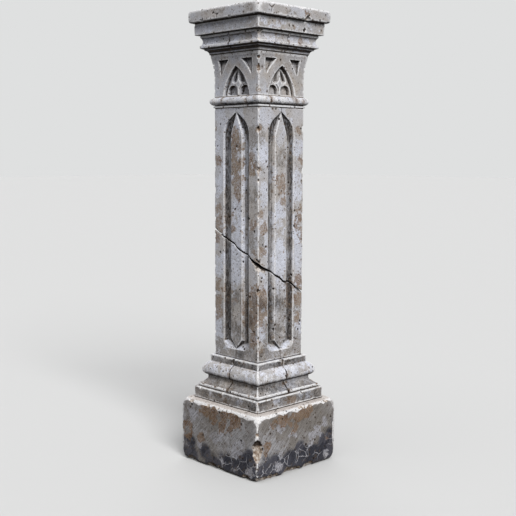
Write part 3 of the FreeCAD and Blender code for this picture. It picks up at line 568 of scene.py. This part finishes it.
# The dowels, pins and cramps are bars of mild steel, cut and bent cold and leaded into holes before
# the next course was set down. They are hidden in the joints and have a dark skin with some rust.
steel, tree, shader, place = stone_shader("steel")
shader.inputs["Metallic"].default_value = 0.8
rust = grain(tree, place, 120.0, 6.0, 0.7)
body = tones(tree, rust, (0.45, paint(118, 118, 120)), (0.6, paint(96, 74, 60)), (0.72, paint(112, 66, 42)))
tree.links.new(body, shader.inputs["Base Color"])
tree.links.new(band(tree, rust, 0.1, 0.7, 0.8), shader.inputs["Roughness"])
for node in ("plinth_dowel", "base_pins", "base_cramps", "shaft_pins", "break_pins", "capital_dowel",
             "cornice_pins", "cornice_cramps", "corona_pins", "abacus_dowel"):
    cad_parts[node].material_slots[0].material = steel


# The step is a low slab of the pale limestone that the rest of the column is cut from. It lies on the
# plinth in a thin bed, and feet have rubbed its upper arris and its corners round and pale.
def limestone(name, patchy, rub, light, wash, fall, splits=()):
    """Pale limestone: patches of lighter and browner bed, stains, pores, grime with painted shade, and
    rubbed arrises. Patchy is how blotched the bed is, rub how white its arrises are, light scales its tones,
    wash warms it, fall draws its grime and painted shade out downwards, and splits are the (low, high)
    heights of the hairline cracks in the middle of each face."""
    material, tree, shader, place = stone_shader(name)
    ragged_place = stirred(tree, place, 60.0, 14 * MM)
    stretched = add(tree, "VectorMath", {0: ragged_place, 1: (1.0, 1.0, 0.6)}, operation="MULTIPLY")
    lobe = cells(tree, stretched, 42.0)
    cloud = grain(tree, place, 6.5, 3.0)
    tone = weigh(tree, cloud, (lobe, 0.5 * patchy))
    body = tones(tree, tone, (0.3, paint(186, 181, 177, light)),
                 (0.45, paint(194, 192, 193, light)),
                 (0.55, paint(203, 204, 210, light)),
                 (0.66, paint(212, 215, 225, light)))
    warm = weigh(tree, grain(tree, place, 16.0, 4.0, 0.6), (lobe, 0.3))
    body = cover(tree, band(tree, warm, 0.44, 0.66, wash), body, paint(184, 172, 157))
    body = patched(tree, place, body, "dull", lobe, paint(146, 140, 134), paint(161, 158, 156), 0.95)
    # The blue tint of the pale patches is painted cool light.
    body = patched(tree, place, body, "pale", lobe, paint(222, 226, 238), paint(210, 213, 224), 0.85)
    body = patched(tree, place, body, "stain", lobe, paint(150, 132, 115), paint(126, 101, 79), 0.92)
    clean = weigh(tree, grain(tree, place, 110.0, 3.0), (mark(tree, "pale"), 0.6))
    hurt = tones(tree, clean, (0.15, paint(126, 103, 82)), (0.3, paint(218, 210, 202)))
    # The grime colour also paints the shade in hollows and on undersides.
    body = rubbed_grimed_and_shaded(tree, place, body, paint(56, 52, 50), paint(238, 238, 239), hurt, rub, fall)
    body, depth = pored(tree, place, body, 8 * MM, paint(140, 120, 100), paint(58, 48, 40))
    for low, high in splits:
        across = off_middle(tree, stirred(tree, place, 90.0, 7 * MM))
        up = add(tree, "SeparateXYZ", {0: place}, 2)
        along = times(tree, band(tree, up, low - 2 * MM, low), band(tree, up, high + 2 * MM, high))
        split = times(tree, band(tree, across, 1.1 * MM, 0.4 * MM), along)
        body = cover(tree, times(tree, split, 0.8), body, paint(78, 62, 49))
        depth = work(tree, "MAXIMUM", depth, split)
    finished(tree, shader, place, body, depth, 0.6)
    return material


bedded_limestone = limestone("bedded_limestone", 0.5, 0.85, 0.96, 0.5, 1.3)

step = Skin("base_step", 1.5 * MM)
dice = np.random.default_rng(12)
low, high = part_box("base_step")
step.round_upright(high.x, 5)
step.wear(0.8, 2, 25, 4)
step.chip_level(dice, high.x, high.z, 1, 7, (3, 6), (1.5, 3.5))
step.chip_level(dice, high.x, low.z, -1, 4, (3, 6), (1.5, 3))
step.chip_upright(dice, high.x, low.z, high.z, 2, (4, 7), (3, 4.5))
step.pit(dice, 110, (1.2, 3.5))
step.ripple(0.3, 22, 5)
step.soak("stain", [(-13, -115, 177, 11), (2, -115, 173, 10), (-5, -115, 164, 9), (115, -9, 179, 12),
                    (115, 6, 168, 10)])
step.soak("pale", [(-49, -115, 170, 11), (52, -115, 172, 12), (115, -50, 180, 13), (115, 34, 177, 9),
                   (115, 63, 174, 11)])
step.marks["hollow"] += 0.3 + 0.3 * mottle(step.at, 26 * MM, 41)
step.marks["dull"] += 0.6
step.lay(bedded_limestone, "limestone", edge=0.7 * step.edges(3))


# The base is moulded with a lip, a hollow slope, a round torus and a fillet. It is cut in four corner
# stones, cramped together in their upper bed, and their upright joints show in the middle of each face.
CORNERS = ("front_left", "front_right", "back_right", "back_left")

base = [Skin("base_stone_" + corner, 1.3 * MM) for corner in CORNERS]
low = min(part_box(stone.node)[0].z for stone in base)
high = max(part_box(stone.node)[1].z for stone in base)
lip = max(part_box(stone.node)[1].x for stone in base)
for stone in base:
    dice = np.random.default_rng(13)
    stone.wear(0.5, 1.4, 22, 6)
    stone.chip_level(dice, lip, low + 5 * MM, 1, 6, (2.5, 5), (1, 2.5))
    stone.chip_level(dice, lip - 21 * MM, high, 1, 6, (2.5, 5), (1, 2.5))
    for quarter in range(4):
        for out, up in ((105, 4), (97, 14), (90, 24), (99, 38), (97, 48), (88, 60), (84, 66), (84, 77)):
            size = dice.uniform(1.6, 3)
            middle = np.array((dice.uniform(-1.5, 1.5), -out - 0.8, 0)) * MM + (0, 0, low + up * MM)
            stone.bite(carried(middle, quarter), size, carried((0, 1, 0), quarter))
    stone.pit(dice, 60, (1, 3))
    stone.ripple(0.25, 18, 7)
    stone.darken_joint(1.5)
    stone.soak("stain", [(0, -99, 229, 7), (0, -90, 211, 9), (0, -84, 260, 6), (99, 0, 229, 7),
                         (90, 0, 211, 9), (84, 0, 260, 6), (0, -104, 191, 7), (104, 0, 191, 7)])
    # The lip and the slope below the torus are darker.
    below_torus = ramp(stone.at[:, 2], low + 36 * MM, low + 24 * MM)
    stone.marks["hollow"] += below_torus * (0.37 + 0.26 * mottle(stone.at, 40 * MM, 41))
    upright = 1 - np.abs(stone.facing()[:, 2])
    fillet = upright * ramp(stone.at[:, 2], high - 22 * MM, high - 18 * MM)
    stone.marks["hollow"] += fillet * (0.4 + 0.4 * mottle(stone.at, 24 * MM, 43))
    stone.marks["pale"] += 0.5 * (1 - below_torus) * (1 - fillet)
    stone.lay(bedded_limestone, "limestone", 0.5, spare=fade(stone.aside(), 5 * MM, 4))


# The shaft is one tall limestone with a sunk lancet panel on each face. It broke right across on a
# slant and was pinned together again, so the two parts fit, and the crack wanders with the grain.
HAIRLINES = [(268 * MM, 292 * MM), (862 * MM, 873 * MM)]
shaft_limestone = limestone("shaft_limestone", 0.9, 0.65, 1.0, 0.1, 0.45, HAIRLINES)
BREAK_LEVEL = 502.5 * MM
BREAK_FALL = 0.5076
SHAFT_HEIGHT = 605 * MM
PANEL_EDGE = 43 * MM
FIELD_EDGE = 24 * MM
DAMP_TOP = 480 * MM
SILL_TOP = 345 * MM


def break_height(x, y):
    """How high the crack lies over a place on the plan, with its wander."""
    flat = np.stack([x, y, np.zeros_like(x)], 1)
    wander = 4.5 * MM * (2 * mottle(flat, 24 * MM, 21) - 1) + 1.5 * MM * (2 * mottle(flat, 8 * MM, 22) - 1)
    return BREAK_LEVEL - BREAK_FALL * (x + y), wander


shaft = [Skin("shaft_lower", 1.7 * MM), Skin("shaft_upper", 2.0 * MM)]
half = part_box("shaft_lower")[1].x
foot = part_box("shaft_lower")[0].z
shoulder = foot + SHAFT_HEIGHT
edge_chips = [(1, -1, 819, 9, 6), (1, -1, 724, 8.5, 5.5), (1, -1, 701, 5, 3.5), (1, -1, 437, 8.5, 5.5),
              (1, -1, 323, 6, 4), (1, 1, 825, 8, 5.5), (1, 1, 723, 8, 5.5), (1, 1, 615, 4.5, 3),
              (-1, -1, 565, 5, 3), (-1, 1, 510, 9, 6)]
# On the lower stone the lost edge at the break is marked fresh; on the upper stone it is marked with stain,
# which paints the shade under its overhang brown.
mouth = [(-1, 15, 7, "fresh"), (1, 13, 7, "stain")]
for stone, (side, size, deep, left) in zip(shaft, mouth):
    dice = np.random.default_rng(14)
    level, wander = break_height(stone.at[:, 0], stone.at[:, 1])
    gap = stone.at[:, 2] - level
    stone.at[:, 2] += wander * fade(gap, 28 * MM)
    stone.at[:, 2] += np.sign(gap) * 0.3 * MM * fade(gap, 4 * MM)
    corner_gap = np.abs(stone.at[:, :2] - (half, -half)).sum(axis=1)
    corner_gap *= 0.8 + 0.4 * mottle(stone.at, 6 * MM, 23)
    gone = fade(corner_gap, 20 * MM) * fade(gap, 10 * MM)
    stone.at[:, 2] += 4.5 * MM * side * gone
    stone.note(left, gone > 0.25)
    level, wander = break_height(np.array([half]), np.array([-half]))
    brink = np.array((half, -half, level[0] + wander[0] + 5 * MM * side))
    stone.flake(brink, size, deep, inward, 0.4, left)
    stone.wear(0.3, 0.9, 26, 8)
    outer = (np.abs(stone.at[:, :2]) > half - 10 * MM).all(axis=1)
    stone.wear(0.8, 2.4, 26, 8, outer)
    stone.chip_upright(dice, half, foot, shoulder, 22, (3, 7.5), (1.5, 3.5))
    for x, y, z, size, deep in edge_chips:
        corner = np.array((x * half, y * half, z * MM))
        into = np.array((-x, -y, 0)) / math.sqrt(2)
        stone.flake(corner, size, deep, into)
        # A little soot high in each chip paints the shade under its upper edge.
        heart = corner + into * 0.3 * deep * MM + (0, 0, 0.55 * size * MM)
        stone.bite(heart, 0.43 * size, into, 0.5, "soot_and_shade")
    for quarter in range(4):
        for along in dice.uniform(-half, half, 32):
            x, y, _ = carried((along, -half, 0), quarter)
            level, wander = break_height(np.array([x]), np.array([y]))
            size = dice.uniform(1.5, 4)
            spot = np.array((x, y, level[0] + wander[0] + dice.uniform(-1.5, 1.5) * MM))
            stone.flake(spot, size, 0.65 * size, carried((0, 1, 0), quarter))
    stone.pit(dice, 520, (1, 3.2))
    stone.ripple(0.3, 24, 9)
    # Soot on the faces of the break near the crack, which also paints the shade inside the crack.
    level, wander = break_height(stone.at[:, 0], stone.at[:, 1])
    square = np.array((BREAK_FALL, BREAK_FALL, 1)) / math.hypot(BREAK_FALL, BREAK_FALL, 1)
    steep = np.abs(stone.facing() @ square)
    close = fade(stone.at[:, 2] - level - wander, 6 * MM)
    stone.note("soot_and_shade", close * np.clip(1.8 * steep - 0.6, 0, 1))
    # The panel grooves are darkened with grime and painted shade: more along the panel walls, at the arch
    # heads and low down, weighted across the faces, and none on faces that look up. Low on the shaft it is
    # also darker in patches.
    aside = stone.aside()
    sunk = ramp(half - np.abs(stone.at[:, :2]).max(axis=1), 1.5 * MM, 6.5 * MM)
    head = ramp(stone.at[:, 2], shoulder - 90 * MM, shoulder - 50 * MM)
    outer = np.maximum(ramp(aside, FIELD_EDGE, FIELD_EDGE + 11 * MM), head)
    wall = np.maximum(fade(aside - PANEL_EDGE, 4 * MM), head)
    damp = ramp(stone.at[:, 2], DAMP_TOP, DAMP_TOP - 60 * MM)
    groove_shade_weight = ramp(stone.at[:, 1] - stone.at[:, 0], -120 * MM, -45 * MM)
    groove_shade_weight = np.maximum(groove_shade_weight, 0.9 * damp)
    washed = np.clip(1.4 * stone.facing()[:, 2], 0, 1)
    beside = (np.abs(stone.at[:, 0]) > 60 * MM) & (stone.at[:, 0] * stone.at[:, 1] < 0)
    grooves = sunk * (0.25 + 0.22 * beside + 0.38 * outer + 0.5 * wall)
    grooves *= (0.7 + 0.3 * groove_shade_weight) * (1 + 0.25 * damp)
    splash = ramp(np.abs(stone.at[:, 0] - stone.at[:, 1]), 20 * MM, 80 * MM)
    soiled = 0.55 * damp * (0.2 + 0.8 * splash) * mottle(stone.at, 30 * MM, 47)
    stone.marks["hollow"] = (1 - washed) * np.maximum(grooves, soiled)
    stone.soak("pale", [(70, -70, 490, 14), (3, -76, 645, 18), (3, -76, 610, 20), (3, -76, 580, 18),
                        (0, -76, 530, 18), (0, -76, 495, 20), (0, -76, 465, 16), (-64, -76, 700, 14),
                        (-64, -76, 670, 14), (-62, -76, 510, 14), (-62, -76, 480, 14), (-66, -76, 350, 15),
                        (-66, -76, 327, 17), (-70, -76, 372, 10), (76, -60, 685, 18), (76, -58, 655, 18),
                        (76, -60, 760, 24), (76, -62, 473, 10), (76, -4, 650, 12), (76, -2, 620, 20),
                        (76, 0, 585, 20), (76, 0, 550, 20), (76, 0, 510, 22), (76, -2, 475, 18),
                        (76, -66, 350, 12), (76, -64, 330, 14), (66, -76, 325, 10), (76, 58, 705, 18),
                        (76, 60, 670, 18), (76, 60, 780, 24), (76, 58, 560, 18), (76, 58, 503, 12),
                        (76, 62, 340, 12)])
    stone.marks["dull"] = 0.66 * ramp(stone.at[:, 2], DAMP_TOP, DAMP_TOP - 80 * MM)
    # The sill facets that look up, low in the panels, are marked pale, which paints the light from above on
    # them.
    sill = np.clip(2 * stone.facing()[:, 2] - 0.4, 0, 1) * (stone.at[:, 2] < SILL_TOP)
    stone.note("pale", sill)
    stone.marks["dull"] *= 1 - sill
    stone.soak("dull", [(0, -75, 405, 24), (0, -75, 360, 24), (0, -75, 325, 16), (76, 0, 405, 24),
                        (76, 0, 365, 24), (76, 0, 325, 18), (60, -76, 805, 30), (56, -76, 665, 28),
                        (58, -76, 735, 24), (58, -76, 560, 26), (0, -75, 785, 26), (0, -75, 735, 26),
                        (76, 0, 755, 22), (-60, -76, 285, 20), (40, -76, 281, 20), (76, 50, 285, 22)])
    stone.soak("stain", [(-4, -76, 809, 17), (0, -76, 775, 20), (3, -76, 738, 20), (0, -76, 695, 18),
                         (-2, -76, 792, 15), (2, -76, 757, 17), (2, -76, 717, 17), (4, -76, 681, 14),
                         (56, -76, 742, 14), (-64, -76, 606, 16), (-64, -76, 570, 15), (66, -76, 440, 18),
                         (6, -76, 667, 14), (55, -76, 757, 12), (55, -76, 726, 16), (-67, -76, 750, 16),
                         (-63, -76, 628, 16), (-63, -76, 585, 20), (-31, -72, 605, 16), (-12, -76, 584, 12),
                         (-64, -76, 556, 16), (-64, -76, 439, 15), (-64, -76, 404, 13), (-41, -72, 429, 18),
                         (-60, -76, 377, 12), (54, -76, 420, 34), (58, -76, 385, 38), (54, -76, 350, 26),
                         (46, -76, 405, 24), (62, -76, 318, 14), (60, -76, 600, 14), (76, -4, 702, 16),
                         (76, 4, 681, 16), (76, 8, 652, 10), (76, -68, 624, 10), (76, -63, 586, 14),
                         (76, 68, 634, 11), (76, 66, 611, 11), (76, 62, 822, 12), (76, -71, 527, 13),
                         (76, -66, 418, 30), (76, -64, 389, 28), (76, -66, 446, 16), (76, 60, 455, 14),
                         (76, 62, 405, 18), (76, 58, 365, 13), (72, 35, 408, 18), (72, 36, 445, 14),
                         (76, -68, 293, 16), (75, -75, 822, 8), (75, -75, 728, 8), (75, -75, 440, 10),
                         (75, 75, 825, 7)])
    beads = 0.15 * (side > 0) + 0.5 * mottle(stone.at, 24 * MM, 46) + 0.7 * mottle(stone.at, 7 * MM, 48)
    arris = beads * fade(half - aside, 3.5 * MM)
    # A pale line under the crack on the lower stone is a painted highlight on its lip.
    lip_highlight = fade(stone.at[:, 2] - level - wander + 2.5 * MM, 1.5 * MM) * (side < 0)
    stone.lay(shaft_limestone, "limestone", edge=np.maximum(arris, lip_highlight * mottle(stone.at, 12 * MM, 49)))


# The necking ring is let in round the stub on top of the shaft, a roll over a small fillet. It is made
# of eight short stones set in mortar, four straight ones and four that turn the corners.
ring = [Skin("ring_stone_" + face, 1.0 * MM) for face in ("front", "right", "back", "left")]
ring += [Skin("ring_corner_" + corner, 1.0 * MM) for corner in CORNERS]
JOINT_ASIDE = 42.2 * MM
for stone in ring:
    dice = np.random.default_rng(15)
    stone.wear(0.4, 1.2, 14, 10)
    for quarter in range(4):
        for along in (-42, 42):
            for up in (878, 889, 895):
                middle = np.array((along + dice.uniform(-2, 2), -86.2, up)) * MM
                stone.bite(carried(middle, quarter), dice.uniform(1.6, 3), carried((0, 1, 0), quarter))
    stone.bite(np.array((88, -88, 898)) * MM, 6, np.array((-0.5, 0.5, -0.7)))
    stone.pit(dice, 14, (1, 2.6))
    stone.ripple(0.25, 12, 11)
    stone.soak("stain", [(-42, -83, 889, 10), (42, -83, 893, 9), (83, -42, 893, 10), (83, 42, 889, 11),
                         (70, -85, 897, 8), (85, -62, 893, 8), (-70, -83, 885, 8), (84, 66, 890, 7)])
    stone.marks["pale"] += 0.64
    across = np.abs(stone.aside() - JOINT_ASIDE)
    stone.note("soot_and_shade", (0.25 + 0.5 * mottle(stone.at, 7 * MM, 45)) * fade(across, 1.8 * MM))
    stone.note("stain", 0.6 * fade(across, 5 * MM))
    stone.lay(bedded_limestone, "limestone", 0.2, spare=fade(across, 4 * MM, 4))


# The capital is one limestone whose bell flares under the cornice. A pointed arch with pierced tracery
# and two small spandrels are carved into each face, and grime with painted shade darkens the sinkings,
# less on their deep flat backs.
capital = Skin("capital", 1.35 * MM)
dice = np.random.default_rng(16)
low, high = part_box("capital")
capital.wear(0.3, 0.9, 18, 12)
capital.chip_upright(dice, half, low.z, high.z, 6, (2, 4.5), (1, 2.5))
for up, size, deep in ((961, 9, 6.5), (953, 6, 4), (913, 5, 3.5), (936, 4, 2.5)):
    capital.flake(np.array((77, -77, up)) * MM, size, deep, inward)
capital.pit(dice, 130, (1, 2.8))
capital.ripple(0.25, 18, 13)
capital.soak("stain", [(76, -76, 961, 7), (76, -76, 913, 6), (-76, -76, 945, 5)])
flat = np.abs(capital.facing()[:, :2]).max(axis=1)
inside = ramp(half - np.abs(capital.at[:, :2]).max(axis=1), 8 * MM, 12 * MM)
capital.lay(bedded_limestone, "limestone", 1.6, spare=0.75 * inside * np.clip(10 * flat - 9, 0, 1))


# The cornice is a hollow bed mould under a scotia between two lips. Like the base it is cut in four
# corner stones with cramps across their joints, and its front corner has lost a piece of the upper lip.
LIP_FOOT = 1017 * MM
LIP_TOP = 1022.5 * MM

cornice = [Skin("cornice_stone_" + corner, 1.2 * MM) for corner in CORNERS]
lip = max(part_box(stone.node)[1].x for stone in cornice)
for stone in cornice:
    dice = np.random.default_rng(17)
    stone.wear(0.4, 1.0, 16, 14)
    stone.chip_level(dice, lip, LIP_FOOT, -1, 5, (2, 4), (1, 2.2))
    stone.chip_level(dice, lip, LIP_TOP, 1, 5, (2, 4), (1, 2.2))
    for quarter in range(4):
        for out, up in ((102, 1020), (98, 1027), (97, 1033), (99, 1040), (101, 1044)):
            middle = np.array((dice.uniform(-1.5, 1.5), -out - 1, up)) * MM
            stone.bite(carried(middle, quarter), dice.uniform(1.6, 3), carried((0, 1, 0), quarter))
    for up, size in ((1046, 15), (1038, 13), (1030, 10)):
        stone.bite(np.array((104, -104, up)) * MM, size, inward)
    stone.pit(dice, 24, (1, 2.6))
    stone.ripple(0.2, 16, 15)
    stone.darken_joint(1.1)
    stone.marks["pale"] += 0.5
    # Soot on the faces of the bed mould that look down under the lip paints the shade there; it is weaker on
    # the two faces square to x.
    under = np.clip(-1.8 * stone.facing()[:, 2] - 0.2, 0, 1) * (stone.at[:, 2] < LIP_FOOT + 1 * MM)
    shade_strength = np.where(np.abs(stone.at[:, 1]) > np.abs(stone.at[:, 0]), 0.95, 0.55)
    stone.note("soot_and_shade", shade_strength * under)
    stone.soak("stain", [(0, -97, 1025, 5), (97, 0, 1025, 5), (100, 40, 1027, 10)])
    stone.lay(bedded_limestone, "limestone", 0.15, spare=fade(stone.aside(), 5 * MM, 4))


# The corona is a plain slab whose faces lean out a little, bedded on the cornice and pinned to it.
# Its lower arris sheds the rain and is nibbled in places.
corona = Skin("corona", 1.6 * MM)
dice = np.random.default_rng(18)
low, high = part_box("corona")
corona.wear(0.5, 1.3, 20, 16)
corona.chip_level(dice, high.x, low.z, -1, 7, (2.5, 5), (1.2, 2.8))
corona.chip_level(dice, high.x, high.z, 1, 3, (2.5, 5), (1.2, 2.5))
corona.chip_upright(dice, high.x, low.z, high.z, 2, (3, 5), (1.5, 3))
corona.pit(dice, 110, (1, 3))
for y, z, size in ((40, 1053, 4), (43, 1057, 3), (2, 1060, 2.5), (-11, 1061, 2.5)):
    corona.bite(np.array((112, y, z)) * MM, size, np.array((-1, 0, 0)), 0.5, "soot_and_shade")
corona.ripple(0.3, 24, 17)
corona.marks["pale"] += 0.3
corona.soak("stain", [(110, 41, 1054, 6), (110, 5, 1057, 5), (108, -108, 1049, 6)])
corona.lay(bedded_limestone, "limestone", edge=0.75 * corona.edges(2.5))


# The abacus is the top slab, doweled to the corona. Its arrises were rounded, and things set down on
# it have knocked flakes off its edges.
abacus = Skin("abacus", 1.7 * MM)
dice = np.random.default_rng(19)
low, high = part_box("abacus")
abacus.round_upright(high.x, 8)
abacus.wear(1.2, 2.6, 24, 18)
abacus.wear(5, 5, 24, 18, abacus.edges(12, 3))
abacus.chip_level(dice, high.x, high.z, 1, 5, (3, 6), (2.5, 4))
abacus.chip_level(dice, high.x, low.z, -1, 5, (3, 6), (2.5, 4))
for x, y, z, size, deep in ((123, 41, 1077, 9, 7), (123, 18, 1104, 6, 4), (123, 30, 1105, 4, 3),
                            (-73, -123, 1077, 5, 4), (123, -80, 1105, 5, 3.5)):
    into = np.array((-1.0 * (x == 123), 1.0 * (y == -123), -1.0 if z > 1090 else 1.0)) / math.sqrt(2)
    abacus.flake(np.array((x, y, z)) * MM, size, deep, into)
abacus.crack([(123.6, -89, 1098), (123.6, -81, 1092), (123.6, -82, 1084)], 0.9)
abacus.crack([(123.6, -81, 1092), (123.6, -73, 1099)], 0.9)
abacus.crack([(-28, -123.6, 1094), (-16, -123.6, 1087), (-17, -123.6, 1079)], 0.9)
abacus.crack([(-16, -123.6, 1087), (-6, -123.6, 1091)], 0.9)
abacus.pit(dice, 150, (1, 3.4))
for x, y, z, size in ((125, 40, 1082, 4.5), (125, 35, 1078, 4.5), (125, 44, 1088, 3), (-68, -125, 1081, 3)):
    into = np.array((-1.0 * (x > 0), 1.0 * (x < 0), 0))
    abacus.bite(np.array((x, y, z)) * MM, size, into, 0.5, "soot_and_shade")
abacus.ripple(0.35, 26, 19)
abacus.marks["dull"] += 0.2
abacus.soak("stain", [(121, 40, 1081, 12), (121, 20, 1103, 6), (-95, -121, 1085, 7), (-73, -121, 1080, 6),
                      (121, -80, 1095, 4)])
edge = np.maximum(0.95 * abacus.edges(4), abacus.edges(10, 3))
abacus.lay(bedded_limestone, "limestone", edge=edge)


# The studio is a plain pale floor under broad soft lamps: a key from the front right, a wide one overhead
# and a weak one from behind. The camera stands as high as the upper part of the shaft.
def shown(tree):
    """1 where the backdrop itself is seen, straight or mirrored, and 0 where it only lights the column."""
    seen = add(tree, "LightPath", {}, "Is Camera Ray")
    for ray in ("Is Glossy Ray", "Is Transmission Ray"):
        seen = work(tree, "MAXIMUM", seen, add(tree, "LightPath", {}, ray))
    return seen


sheet = bmesh.new()
bmesh.ops.create_grid(sheet, x_segments=2, y_segments=2, size=30)
floor_mesh = bpy.data.meshes.new("floor")
sheet.to_mesh(floor_mesh)
sheet.free()
floor = bpy.data.objects.new("floor", floor_mesh)
bpy.context.scene.collection.objects.link(floor)
floor_paint = bpy.data.materials.new("floor_paint")
floor_paint.use_nodes = True
tree = floor_paint.node_tree
shader = tree.nodes["Principled BSDF"]
shader.inputs["Specular IOR Level"].default_value = 0.0
tone = cover(tree, shown(tree), paint(96, 96, 96), paint(204, 204, 203))
tree.links.new(tone, shader.inputs["Base Color"])
floor_mesh.materials.append(floor_paint)


def lamp(name, at, width, power):
    """A broad soft lamp far off, in the direction that is given."""
    light = bpy.data.lights.new(name, "SUN")
    light.angle = math.radians(width)
    light.energy = power
    far = bpy.data.objects.new(name, light)
    far.rotation_euler = Vector(at).to_track_quat("Z", "Y").to_euler()
    bpy.context.scene.collection.objects.link(far)


lamp("key", (1.0, -0.46, 0.8), 30, 3.3)
lamp("overhead", (0.1, -0.3, 1.0), 50, 0.8)
lamp("rear", (-0.9, 0.8, 0.6), 60, 0.9)

world = bpy.data.worlds.new("studio")
bpy.context.scene.world = world
world.use_nodes = True
tree = world.node_tree
tree.links.new(cover(tree, shown(tree), paint(137, 138, 141), paint(223, 224, 224)),
               tree.nodes["Background"].inputs["Color"])

eye = bpy.data.cameras.new("camera")
eye.lens = 64.07
eye.sensor_width = 36
camera = bpy.data.objects.new("camera", eye)
camera.location = (1.617, -1.580, 0.7557)
camera.rotation_euler = (math.radians(83.754), math.radians(-0.15), math.radians(45.723))
bpy.context.scene.collection.objects.link(camera)
bpy.context.scene.camera = camera
bpy.context.scene.view_settings.view_transform = "Standard"
